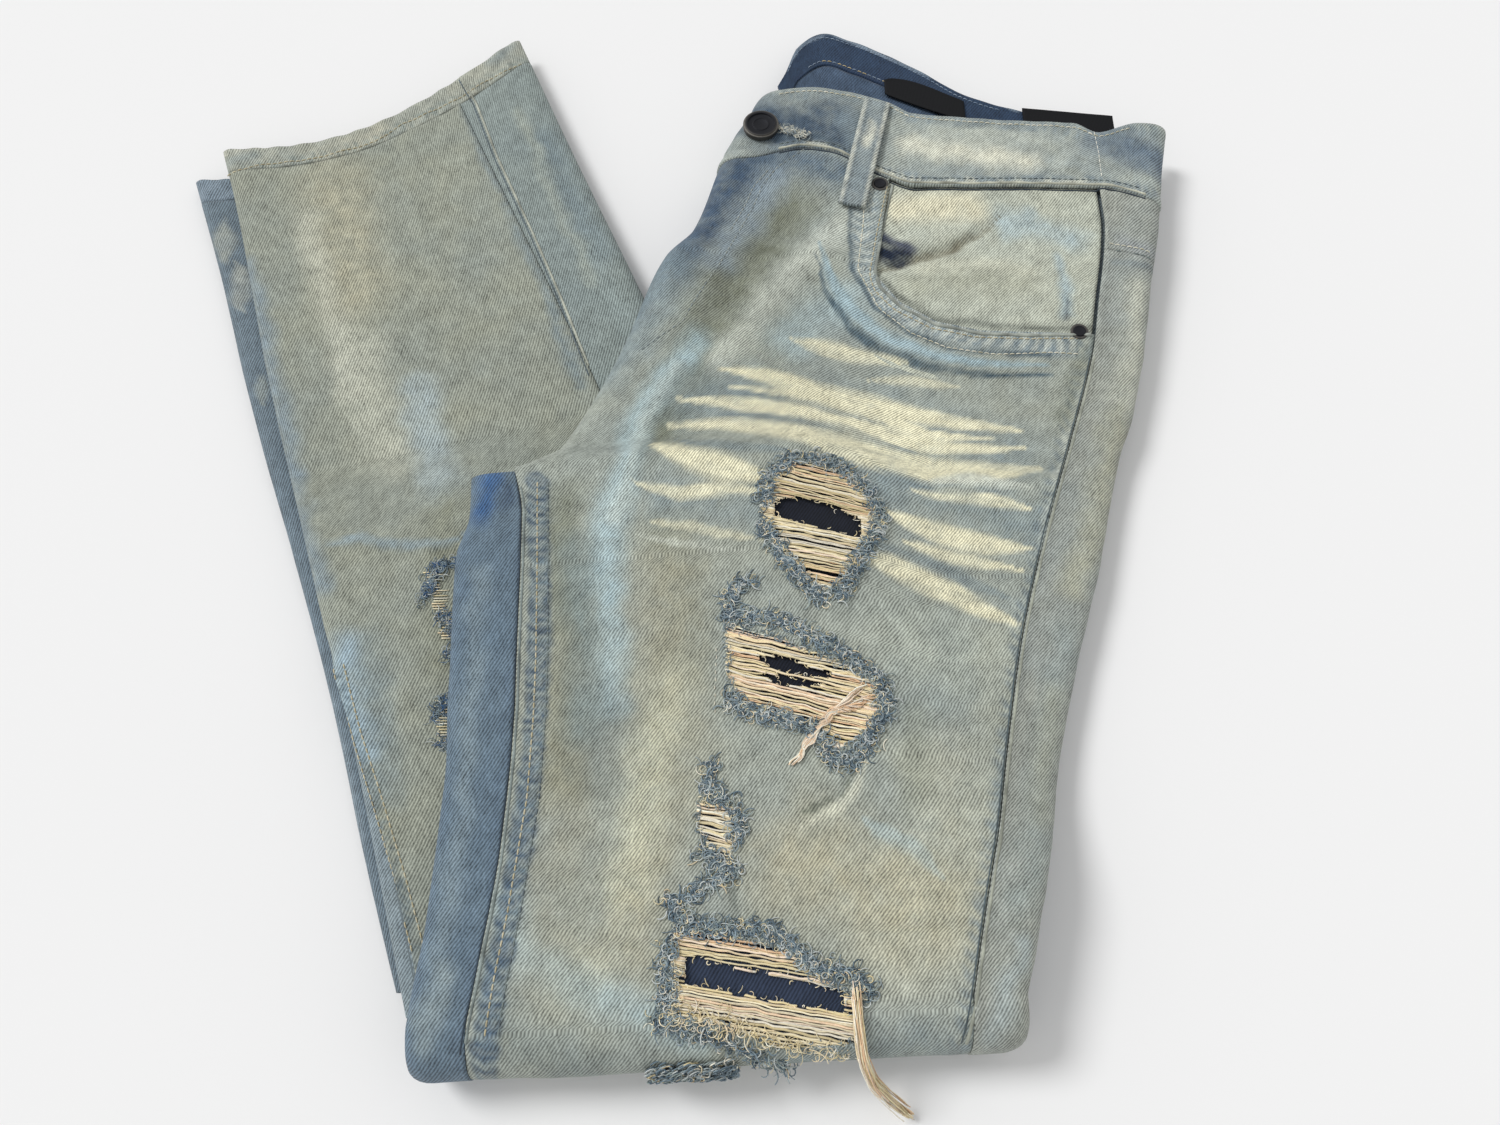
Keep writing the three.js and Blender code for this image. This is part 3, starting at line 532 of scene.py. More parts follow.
def tube_ring(name: str, rings: np.ndarray, paint: Callable, closed: bool) -> bpy.types.Object:
    """A solid through rings of points; joined end to end where closed, and capped otherwise."""
    rows, cols = rings.shape[:2]
    number = np.arange(rows * cols).reshape(rows, cols)
    if closed:
        number = np.vstack([number, number[:1]])
    a, d = number[:-1], number[1:]
    b, c = np.roll(a, -1, 1), np.roll(d, -1, 1)
    faces = np.stack([a.ravel(), d.ravel(), c.ravel(), b.ravel()], 1)
    points = rings.reshape(-1, 3)
    if not closed:
        middle = [rings[0].mean(0), rings[-1].mean(0)]
        points = np.vstack([points, middle])
        first, last = number[0], number[-1]
        hub = np.full(cols, rows * cols)
        faces = np.vstack([faces, np.stack([hub, first, np.roll(first, -1), np.roll(first, -1)], 1),
                           np.stack([hub + 1, np.roll(last, -1), last, last], 1)])
    centre = points.mean(0)
    p = points[faces]
    volume = np.einsum("ij,ij->i", p[:, 0] - centre, np.cross(p[:, 1] - centre, p[:, 2] - centre)).sum()
    if volume < 0:
        faces = faces[:, ::-1]
    grid_uv = cloth_coordinates(rings).reshape(-1, 2)
    uv = np.vstack([grid_uv, np.zeros((len(points) - len(grid_uv), 2))])
    obj = make_object(name, points, faces, paint(points[:, 0], points[:, 1]), uv)
    deselect()
    bpy.context.view_layer.objects.active = obj
    obj.select_set(True)
    bpy.ops.object.mode_set(mode="EDIT")
    bpy.ops.mesh.select_all(action="SELECT")
    bpy.ops.mesh.remove_doubles(threshold=1e-6)
    bpy.ops.mesh.normals_make_consistent(inside=False)
    bpy.ops.object.mode_set(mode="OBJECT")
    obj.select_set(False)
    return obj


def deselect() -> None:
    """Deselects everything."""
    for obj in bpy.context.scene.objects:
        obj.select_set(False)


@dataclass
class Strands:
    """Many threads gathered into one mesh."""

    sides: int = 4
    points: list = field(default_factory=list)
    faces: list = field(default_factory=list)
    colours: list = field(default_factory=list)
    count: int = 0

    def add(self, path: np.ndarray, radius: Numbers, colour: np.ndarray) -> None:
        """Adds a thread along a path, pointed at both ends.

        Args:
            path: points in millimetres.
            radius: its radius, a number or one for each point.
            colour: its linear colour, one or one for each point.
        """
        tangent = np.gradient(path, axis=0)
        tangent /= np.maximum(np.linalg.norm(tangent, axis=1, keepdims=True), 1e-9)
        side = np.cross(tangent, [0.05, 0.08, 1.0])
        side /= np.maximum(np.linalg.norm(side, axis=1, keepdims=True), 1e-9)
        up = np.cross(side, tangent)
        turn = np.arange(self.sides) * math.tau / self.sides
        r = np.broadcast_to(radius, len(path)).astype(float)[:, None, None]
        ring = side[:, None] * np.cos(turn)[None, :, None] + up[:, None] * np.sin(turn)[None, :, None]
        tips = [path[:1] - tangent[:1] * r[0, 0] * 0.8, path[-1:] + tangent[-1:] * r[-1, 0] * 0.8]
        body = (path[:, None] + ring * r).reshape(-1, 3)
        number = np.arange(len(body)).reshape(len(path), self.sides) + self.count
        a, d = number[:-1], number[1:]
        b, c = np.roll(a, -1, 1), np.roll(d, -1, 1)
        tip = self.count + len(body)
        first, last = number[0], number[-1]
        tri = [np.stack([a.ravel(), b.ravel(), c.ravel()], 1), np.stack([a.ravel(), c.ravel(), d.ravel()], 1),
               np.stack([np.full(self.sides, tip), np.roll(first, -1), first], 1),
               np.stack([np.full(self.sides, tip + 1), last, np.roll(last, -1)], 1)]
        self.points.extend([body, *tips])
        self.faces.extend(tri)
        along = np.broadcast_to(colour, (len(path), 3))
        self.colours.extend([np.repeat(along, self.sides, 0), along[:1], along[-1:]])
        self.count += len(body) + 2

    def build(self, name: str) -> bpy.types.Object:
        """The threads as one object."""
        return make_object(name, np.vstack(self.points), np.vstack(self.faces), np.vstack(self.colours))


class Drop:
    """Finds the height of finished cloth under a place in plan."""

    def __init__(self, pieces: Sequence[bpy.types.Object]) -> None:
        """Makes a search tree of each piece."""
        graph = bpy.context.evaluated_depsgraph_get()
        self.trees = [BVHTree.FromObject(piece, graph) for piece in pieces]

    def height(self, x: float, y: float, otherwise: float = 0.0) -> float:
        """Height of the highest cloth at a place, in millimetres."""
        start, down = Vector((x * MM, y * MM, 0.2)), Vector((0, 0, -1))
        hits = [tree.ray_cast(start, down)[0] for tree in self.trees]
        return max((hit.z / MM for hit in hits if hit is not None), default=otherwise)

    def heights(self, x: np.ndarray, y: np.ndarray, otherwise: float = 0.0) -> np.ndarray:
        """The same for many places."""
        return np.array([self.height(a, b, otherwise) for a, b in zip(x, y)])


# ---- Finishes ---------------------------------------------------------------------------------
class Nodes:
    """A material's node tree, built one node at a time."""

    def __init__(self, name: str) -> None:
        """Starts a material with its Principled shader."""
        self.material = bpy.data.materials.new(name)
        self.material.use_nodes = True
        self.tree = self.material.node_tree
        self.shader = next(n for n in self.tree.nodes if n.type == "BSDF_PRINCIPLED")

    def add(self, kind: str, links: dict | None = None, **settings) -> bpy.types.Node:
        """Adds a node.

        Args:
            kind: the node's type name.
            links: input name or number to a socket, or to a plain value.
            settings: the node's own properties.

        Returns:
            The new node.
        """
        node = self.tree.nodes.new(kind)
        for key, value in settings.items():
            setattr(node, key, value)
        for key, value in (links or {}).items():
            if isinstance(value, bpy.types.NodeSocket):
                self.tree.links.new(value, node.inputs[key])
            else:
                node.inputs[key].default_value = value
        return node

    def link(self, socket: bpy.types.NodeSocket, name: str) -> None:
        """Links a socket to the shader."""
        self.tree.links.new(socket, self.shader.inputs[name])


@dataclass(frozen=True)
class Denim:
    """Washed cotton twill. Indigo warp lies over cream weft in slanting lines, and washing has
    rubbed the tops of the threads pale, which gives the eye fine slanting lines, slubs and lint.
    The lines are drawn about twice as coarse as real ones, so that they show."""

    name: str
    twill_mm: float = 1.3
    slant_deg: float = 58.0
    twill: float = 0.50
    slub: float = 0.55
    lint: float = 0.85
    patchiness: float = 0.45
    contrast: float = 1.6
    roughness: float = 0.9
    sheen: float = 0.12

    def build(self) -> bpy.types.Material:
        """Makes the material."""
        n = Nodes(self.name)
        n.shader.inputs["Roughness"].default_value = self.roughness
        n.shader.inputs["Sheen Weight"].default_value = self.sheen
        n.shader.inputs["Specular IOR Level"].default_value = 0.25
        paint = n.add("ShaderNodeAttribute", attribute_name="paint")
        uv = n.add("ShaderNodeUVMap", uv_map="cloth")
        slant = n.add("ShaderNodeMapping", {"Vector": uv.outputs[0],
                                            "Rotation": (0, 0, math.radians(90 - self.slant_deg))})
        line = n.add("ShaderNodeTexWave", {"Vector": slant.outputs[0], "Distortion": 1.6, "Detail": 2.0,
                                           "Detail Scale": 1.2,
                                           "Scale": math.tau / 20 / (self.twill_mm * MM)})
        long = n.add("ShaderNodeMapping", {"Vector": uv.outputs[0], "Scale": (1 / 1.3, 1 / 5.0, 1)})
        slub = n.add("ShaderNodeTexNoise", {"Vector": long.outputs[0], "Scale": 1 / MM, "Detail": 2.0})
        lint = n.add("ShaderNodeTexNoise", {"Vector": uv.outputs[0], "Scale": 1 / (1.05 * MM), "Detail": 2.5,
                                            "Roughness": 0.75})
        patch = n.add("ShaderNodeTexNoise", {"Vector": uv.outputs[0], "Scale": 1 / (9 * MM), "Detail": 4.0})
        value = 1.0
        for share, texture in ((self.twill, line), (self.slub, slub), (self.lint, lint), (self.patchiness,
                                                                                          patch)):
            swing = n.add("ShaderNodeMath", {0: texture.outputs[0], 1: -0.5}, operation="ADD")
            value = n.add("ShaderNodeMath", {0: swing.outputs[0], 1: share * self.contrast, 2: value},
                          operation="MULTIPLY_ADD").outputs[0]
        shade = n.add("ShaderNodeHueSaturation", {"Color": paint.outputs["Color"], "Value": value})
        n.link(shade.outputs[0], "Base Color")
        height = n.add("ShaderNodeMath", {0: line.outputs[0], 1: lint.outputs[0]}, operation="ADD")
        bump = n.add("ShaderNodeBump", {"Height": height.outputs[0], "Strength": 0.5, "Distance": 0.3 * MM})
        n.link(bump.outputs[0], "Normal")
        return n.material


@dataclass(frozen=True)
class Yarn:
    """Loose cotton thread: matt, with a twist that catches light every millimetre or so."""

    name: str
    roughness: float = 0.85

    def build(self) -> bpy.types.Material:
        """Makes the material."""
        n = Nodes(self.name)
        n.shader.inputs["Roughness"].default_value = self.roughness
        n.shader.inputs["Sheen Weight"].default_value = 0.2
        n.shader.inputs["Specular IOR Level"].default_value = 0.2
        paint = n.add("ShaderNodeAttribute", attribute_name="paint")
        place = n.add("ShaderNodeTexCoord")
        twist = n.add("ShaderNodeTexNoise", {"Vector": place.outputs["Object"], "Scale": 1 / (1.2 * MM),
                                             "Detail": 2.0})
        value = n.add("ShaderNodeMath", {0: twist.outputs[0], 1: 0.5, 2: 0.75}, operation="MULTIPLY_ADD")
        shade = n.add("ShaderNodeHueSaturation", {"Color": paint.outputs["Color"], "Value": value.outputs[0]})
        n.link(shade.outputs[0], "Base Color")
        return n.material


@dataclass(frozen=True)
class Tape:
    """Woven polyester tape in black, with a close crosswise rib and a faint sheen."""

    name: str = "black_woven_tape"

    def build(self) -> bpy.types.Material:
        """Makes the material."""
        n = Nodes(self.name)
        n.shader.inputs["Roughness"].default_value = 0.75
        n.shader.inputs["Specular IOR Level"].default_value = 0.2
        place = n.add("ShaderNodeTexCoord")
        rib = n.add("ShaderNodeTexWave", {"Vector": place.outputs["Object"], "Distortion": 0.6,
                                          "Scale": math.tau / 20 / (0.8 * MM)})
        colour = n.add("ShaderNodeMix", {0: rib.outputs[0], 6: (*linear("#0B0C0E"), 1),
                                         7: (*linear("#17181B"), 1)},
                       data_type="RGBA")
        n.link(colour.outputs[2], "Base Color")
        bump = n.add("ShaderNodeBump", {"Height": rib.outputs[0], "Strength": 0.3, "Distance": 0.1 * MM})
        n.link(bump.outputs[0], "Normal")
        return n.material


@dataclass(frozen=True)
class AgedBrass:
    """Brass dipped to a near-black patina, tumbled so that its rims are rubbed to dull metal."""

    name: str = "antiqued_brass"

    def build(self) -> bpy.types.Material:
        """Makes the material."""
        n = Nodes(self.name)
        n.shader.inputs["Metallic"].default_value = 0.85
        place = n.add("ShaderNodeTexCoord")
        fleck = n.add("ShaderNodeTexNoise", {"Vector": place.outputs["Object"], "Scale": 1 / (1.5 * MM),
                                             "Detail": 4.0})
        worn = n.add("ShaderNodeAttribute", attribute_name="rubbed")
        patchy = n.add("ShaderNodeMapRange", {"Value": fleck.outputs[0], 3: 0.4, 4: 1.2})
        share = n.add("ShaderNodeMath", {0: patchy.outputs[0], 1: worn.outputs["Fac"]}, operation="MULTIPLY")
        colour = n.add("ShaderNodeMix", {0: share.outputs[0], 6: (*linear("#2B2C30"), 1),
                                         7: (*linear("#8C8880"), 1)}, data_type="RGBA")
        n.link(colour.outputs[2], "Base Color")
        rough = n.add("ShaderNodeMapRange", {"Value": fleck.outputs[0], 3: 0.35, 4: 0.62})
        n.link(rough.outputs[0], "Roughness")
        return n.material


# ---- Colours ----------------------------------------------------------------------------------
OLIVE, GREY_TAN, CREAM, PALE = "#7C8070", "#A9AC9E", "#E0DCBE", "#CBD0C4"
BLUE_GREY, SKY, DEEP_BLUE, INDIGO = "#7C8C92", "#A9BFC4", "#4F6478", "#2F4058"
NAVY, TAN, SHADOW_BLUE = "#141822", "#BDBCA6", "#5F7078"
WEFT = ("#F2E6C6", "#EBDDB4", "#F7F0DE", "#E0D0A4", "#EFDCB8")
FRAY_BLUE = ("#657986", "#8496A0", "#A6B2B4", "#50626E", "#C6CCCA", "#74858E", "#93A09E")
PEACH = ("#F2D6B6", "#EBC8A2", "#F5E2CC")


# ---- Left leg, upper half ---------------------------------------------------------------------
@dataclass
class Rip:
    """A hole in the front panel, with the weft threads left across it.

    Attributes:
        name: which rip.
        outline: the hole in the panel.
        openings: where the weft has gone too.
        slope: rise of the weft threads for each millimetre across.
        mats: routes along which frayed warp lies thick.
        bare_share: share of weft threads missing.
    """

    name: str
    outline: Points
    openings: Sequence[Points]
    slope: float
    mats: Sequence[Points]
    bare_share: float = 0.03


RIPS = (
    Rip("thigh", [(59, -13), (72, -11), (88, -18), (97, -30), (96, -44), (87, -60), (80, -74), (70, -79),
                  (60, -66), (50, -53), (45, -38), (50, -24)],
        [[(53, -33), (62, -31), (76, -33), (90, -38), (91, -50), (76, -47), (61, -45), (51, -42)]], -0.13,
        [[(66, -8), (82, -10), (96, -24), (101, -38)], [(101, -42), (93, -54), (86, -70), (78, -82)],
         [(46, -46), (54, -62), (63, -74), (72, -84)], [(45, -34), (50, -20), (60, -9)]]),
    Rip("mid_thigh", [(30, -95), (52, -101), (80, -113), (95, -124), (92, -140), (76, -150), (62, -138),
                      (38, -131), (31, -118)],
        [[(43, -108), (54, -109), (65, -113), (75, -116), (73, -119), (62, -118), (50, -115)],
         [(46, -117), (56, -118), (72, -122), (60, -123), (50, -121)]], -0.24,
        [[(41, -74), (31, -80), (30, -92), (45, -91), (56, -94), (72, -103), (84, -110), (97, -121)],
         [(30, -128), (40, -134), (54, -137), (64, -140)], [(66, -140), (74, -154), (82, -156), (92, -143)],
         [(97, -122), (98, -132), (93, -142)]]),
    Rip("above_knee", [(20, -172), (33, -174), (34, -184), (31, -196), (24, -190), (19, -182)], [], -0.2,
        [[(25, -156), (22, -166), (32, -172)], [(20, -192), (27, -196), (35, -199), (22, -205), (14, -211)],
         [(35, -176), (35, -188)]], 0.02),
    Rip("knee", [(10, -222), (30, -224), (52, -229), (68, -239), (80, -247), (80, -262), (52, -264),
                 (34, -257), (12, -252)],
        [[(15, -231), (34, -235), (52, -239), (75, -244), (75, -251), (53, -248), (31, -244), (15, -241)]],
        -0.16,
        [[(8, -210), (13, -219), (26, -222), (46, -221), (56, -228), (66, -236), (80, -238), (86, -246)],
         [(4, -254), (16, -258), (32, -262), (46, -268), (56, -270)], [(8, -226), (8, -240), (8, -250)]]),
)
POCKET = [(116, 172), (110, 135), (105, 105), (117, 88), (135, 76), (157, 71), (185, 70), (222, 68),
          (240, 110), (240, 172)]
POCKET_EDGE = [(118, 166), (111, 135), (106, 108), (108, 98), (118, 86), (136, 75), (158, 70), (186, 69),
               (214, 69)]

INSEAM_BAND = [(-58, -24), (-54, -63), (-51, -110), (-50, -150), (-52, -193), (-57, -239), (-61, -275)]

FRONT_MARKS = (
    # The next two: painted shade along the fly's rolled fold.
    Mark("#43566B", 0.95, 40, [(36, 182), (14, 142), (2, 112)]),
    Mark("#56697C", 0.6, 22, [(-2, 100), (-18, 72)]),
    Mark("#5A6C7C", 0.75, 22, [(52, 184), (88, 172)]),
    Mark(BLUE_GREY, 0.6, 24, [(0, 100), (-16, 66), (-30, 38)]),
    Mark("#767A6A", 0.8, 24, [(62, 150), (50, 126), (34, 98), (22, 64), (10, 30), (-2, 4)]),
    Mark(PALE, 0.55, 12, [(96, 148), (78, 124), (56, 94), (42, 68), (26, 40)]),
    Mark(SKY, 0.45, 22, [(92, 90), (72, 76), (60, 60)]),
    # This mark and the pale one after it: painted highlight on the crease ridge down the leg.
    Mark(SKY, 0.75, 12, [(16, 52), (0, 32), (-12, 8), (-18, -18), (-24, -44), (-24, -73), (-20, -104), (-20,
                                                                                                        -130)]),
    Mark("#C6CFC6", 0.5, 6, [(4, 36), (-10, 6), (-16, -18), (-22, -44)]),
    Mark(OLIVE, 0.7, 20, [(-46, -34), (-44, -70), (-38, -110), (-36, -160)]),
    Mark(OLIVE, 0.4, 22, [(4, -48), (10, -84), (10, -110)]),
    Mark("#C6C9B4", 0.65, 16, [(8, -120), (0, -150), (-4, -176), (-8, -206)]),
    Mark(TAN, 0.4, 16, [(-6, -196), (-8, -224), (-20, -236)]),
    Mark(SHADOW_BLUE, 0.35, 18, [(-20, -130), (-22, -160)]),
    # Painted highlight on the crease ridge by the knee.
    Mark(SKY, 0.45, 13, [(-56, -212), (-44, -232), (-20, -246), (2, -251), (20, -262)]),
    Mark(SHADOW_BLUE, 0.35, 14, [(-62, -236), (-48, -262), (-20, -272)]),
    Mark(TAN, 0.6, 34, [(66, -196), (92, -206), (100, -226)]),
    Mark(TAN, 0.45, 30, [(120, -150), (126, -186), (118, -214)]),
    Mark(BLUE_GREY, 0.3, 30, [(124, -100), (108, -92), (112, -128)]),
    # The next two: painted highlights on small crease ridges.
    Mark(SKY, 0.5, 6, [(86, -179), (102, -189), (118, -201)], Tip.WISP),
    Mark(SKY, 0.45, 6, [(126, -220), (140, -229), (150, -236)], Tip.WISP),
    Mark("#A79F82", 0.34, 30, [(4, -70), (6, -120), (4, -176), (0, -226)]),
    Mark("#A79F84", 0.36, 40, [(58, -196), (92, -206), (120, -214)]),
    Mark("#9D977E", 0.30, 26, [(-34, -110), (-36, -170), (-38, -236)]),
    Mark("#8F9FAB", 0.55, 15, [(52, 168), (40, 140), (26, 104)]),
    Mark("#B4B9AB", 0.55, 34, [(104, -96), (126, -104), (150, -96)]),
    Mark("#7A8A8C", 0.55, 15, [(-36, -60), (-32, -100), (-30, -140)]),
    Mark("#A6AAA0", 0.4, 24, [(96, -252), (116, -256)]),
    # The next three: painted shade in creases above the knee, with a painted highlight on the slope beside the
    # first.
    Mark("#6A7064", 0.7, 1.8, [(83, -152), (81, -162), (78, -169), (66, -175), (52, -178)], Tip.WISP),
    Mark("#CFCFBC", 0.6, 3.4, [(86, -154), (84, -166), (76, -174), (60, -181)], Tip.WISP),
    Mark("#646C66", 0.6, 1.6, [(34, -198), (36, -208), (35, -218)], Tip.WISP),
    Mark(BLUE_GREY, 0.45, 20, [(60, -266), (110, -262)]),
    Mark(OLIVE, 0.4, 12, [(112, -134), (106, -168)]),
    Mark(GREY_TAN, 0.4, 12, [(150, -90), (140, -160), (128, -230)]),
    # The pocket's painted shadow in the trough outside the ridge below its stitching, and a painted highlight along
    # that ridge.
    Mark("#8FA6AE", 0.7, 7, [(77, 124), (80, 106), (90, 84), (106, 67), (126, 58), (154, 52), (190, 50)],
         Tip.WHISKER),
    Mark("#A8BFC6", 0.7, 3.6, [(78, 120), (84, 96), (96, 76), (112, 63), (132, 56), (164, 51)], Tip.WHISKER),
    Mark("#465A66", 0.9, 3.2, [(74, 116), (79, 94), (90, 73), (104, 60), (126, 51), (152, 46), (192, 45)],
         Tip.WHISKER),
    Mark("#7F8D93", 0.8, 10, [(102, 160), (101, 136), (99, 110), (108, 92), (124, 78), (148, 68), (184, 64),
                              (210, 62)], Tip.LINE),
    Pucker("#C3C8BE", 0.75, 8, [(102, 160), (101, 136), (99, 110), (108, 92), (124, 78), (148, 68), (184, 64),
                                (210, 62)], 6.0),
    Mark("#4F5F68", 0.8, 1.8, [(94, 150), (92, 130), (93, 108), (103, 86), (120, 70), (142, 60), (190, 56)],
         Tip.LINE),
    # Whiskers, and the blue left between them.
    Mark(BLUE_GREY, 0.55, 26, [(14, 20), (60, 26), (110, 22), (160, 2)]),
    Mark(BLUE_GREY, 0.6, 24, [(96, -18), (140, -20), (174, -40)]),
    Mark(BLUE_GREY, 0.45, 18, [(0, -32), (34, -36), (50, -44)]),
    Mark(CREAM, 0.80, 7.4, [(60, 61), (84, 58), (118, 52)], Tip.WHISKER),
    Mark(CREAM, 0.63, 4.7, [(98, 42), (126, 42), (146, 38)], Tip.WHISKER),
    Mark(CREAM, 1.10, 9.5, [(26, 37), (48, 36), (72, 31), (96, 28), (130, 21), (172, 14)], Tip.WHISKER),
    Mark(CREAM, 0.92, 4.9, [(30, 27), (62, 28), (104, 21), (128, 12), (158, 10)], Tip.WHISKER),
    Mark(CREAM, 1.10, 8.4, [(6, 20), (35, 18), (66, 20), (100, 12), (134, 5), (174, 4)], Tip.WHISKER),
    Mark(CREAM, 1.03, 10.1, [(2, 6), (34, 6), (66, 6), (98, -2), (128, -8), (160, -8), (180, -7)],
         Tip.WHISKER),
    Mark(CREAM, 1.09, 10.1, [(-6, -4), (14, -12), (32, -18), (52, -23)], Tip.WHISKER),
    Mark(CREAM, 0.80, 5.7, [(-14, -24), (8, -30), (28, -27), (46, -30)], Tip.WHISKER),
    Mark(CREAM, 0.57, 3.5, [(-8, -43), (17, -48), (46, -54)], Tip.WHISKER),
    Mark(PALE, 0.45, 2.2, [(-14, -50), (12, -56), (44, -60)], Tip.WHISKER),
    Mark(CREAM, 0.86, 6.5, [(116, -20), (144, -20), (174, -28)], Tip.WHISKER),
    Mark(PALE, 0.75, 5, [(120, -14), (146, -12), (176, -16)], Tip.WHISKER),
    Mark(CREAM, 1.09, 8.1, [(98, -32), (124, -40), (150, -47), (172, -49)], Tip.WHISKER),
    Mark(CREAM, 0.92, 5.1, [(110, -47), (135, -54), (166, -60)], Tip.WHISKER),
    Mark(CREAM, 1.10, 10.1, [(88, -58), (108, -63), (130, -72), (164, -88)], Tip.WHISKER),
    Mark("#6F7F86", 0.6, 3.6, [(20, 11), (50, 13), (88, 12), (120, 1)], Tip.WHISKER),
    Mark("#6F7F86", 0.55, 3.2, [(34, 24), (70, 24), (108, 18)], Tip.WHISKER),
    Mark("#6F7F86", 0.6, 4.5, [(98, -8), (126, -17), (160, -18)], Tip.WHISKER),
    Mark("#6F7F86", 0.55, 4.0, [(6, -2), (36, -6), (60, -6)], Tip.WHISKER),
    Mark("#6F7F86", 0.6, 6.0, [(96, -50), (124, -60), (160, -74)], Tip.WHISKER),
    # Along the seams.
    Mark("#687982", 0.85, 6.0, INSEAM_BAND, Tip.LINE),
    Pucker("#3F5062", 0.8, 7.5, INSEAM_BAND, 8.0),
    Pucker("#A9B0A8", 0.5, 5.0, INSEAM_BAND, 5.0),
    Pucker("#6E7C84", 0.55, 7.0, [(212, 66), (196, 14), (178, -42), (162, -96), (146, -160), (133, -210),
                                  (120, -264)]),
    Mark(DEEP_BLUE, 0.5, 3.2, [(-50, -160), (-53, -200), (-58, -240), (-60, -270)]),
    Mark(PALE, 0.5, 3.0, [(206, 40), (190, -6), (174, -60)]),
    Mark(OLIVE, 0.5, 10, [(212, 66), (196, 24)]),
    Mark(SHADOW_BLUE, 0.55, 5, [(186, -30), (177, -56)]),
    Mark(BLUE_GREY, 0.4, 5, [(160, -110), (148, -160), (136, -208), (124, -262)]),
)

FRONT_CREASES = (
    Crease(-2.4, 13, [(64, 152), (52, 128), (36, 98), (22, 64), (8, 30)]),
    Crease(1.8, 12, [(92, 146), (74, 120), (54, 92), (38, 64), (22, 36)]),
    Crease(1.6, 8, [(76, 114), (82, 94), (94, 76), (110, 62), (130, 55), (158, 51), (182, 50)]),
    Crease(-1.8, 6, [(72, 106), (80, 82), (94, 64), (112, 52), (136, 44), (164, 41), (190, 42)]),
    Crease(1.1, 9, [(16, 52), (0, 32), (-12, 8), (-18, -18), (-24, -44), (-24, -80), (-20, -120)]),
    Crease(-0.9, 9, [(6, 20), (-2, 0), (-8, -30), (-8, -64)]),
    Crease(0.9, 5, [(26, 37), (72, 31), (130, 21), (172, 14)]),
    Crease(-0.7, 4, [(34, 24), (70, 24), (108, 18)]),
    Crease(0.8, 5, [(2, 6), (66, 6), (128, -8), (180, -7)]),
    Crease(-0.7, 4, [(98, -8), (126, -17), (160, -18)]),
    Crease(0.8, 5, [(88, -58), (130, -72), (164, -88)]),
    Crease(0.7, 4, [(98, -32), (150, -47)]),
    Crease(-1.5, 4.5, [(82, -154), (80, -167), (70, -175)]),
    Crease(-1.2, 4.0, [(52, -178), (66, -177), (78, -175)]),
    Crease(1.8, 6, [(56, -184), (70, -181), (88, -180)]),
    Crease(1.4, 6, [(90, -156), (88, -168)]),
    Crease(-1.2, 3.5, [(34, -199), (35, -216)]),
    Crease(1.0, 4.5, [(28, -200), (29, -216)]),
    Crease(-0.8, 4, [(86, -76), (83, -102)]),
    Crease(0.8, 7, [(86, -179), (102, -189), (118, -201)]),
    Crease(0.7, 7, [(126, -220), (150, -236)]),
    Crease(0.8, 9, [(-56, -212), (-44, -232), (-20, -246)]),
    Crease(-1.0, 3.6, [(183, -24), (178, -44), (173, -62)]),
    Crease(0.9, 10, [(120, -130), (116, -170), (118, -214)]),
    Crease(-0.8, 12, [(100, -130), (98, -168), (92, -204)]),
)


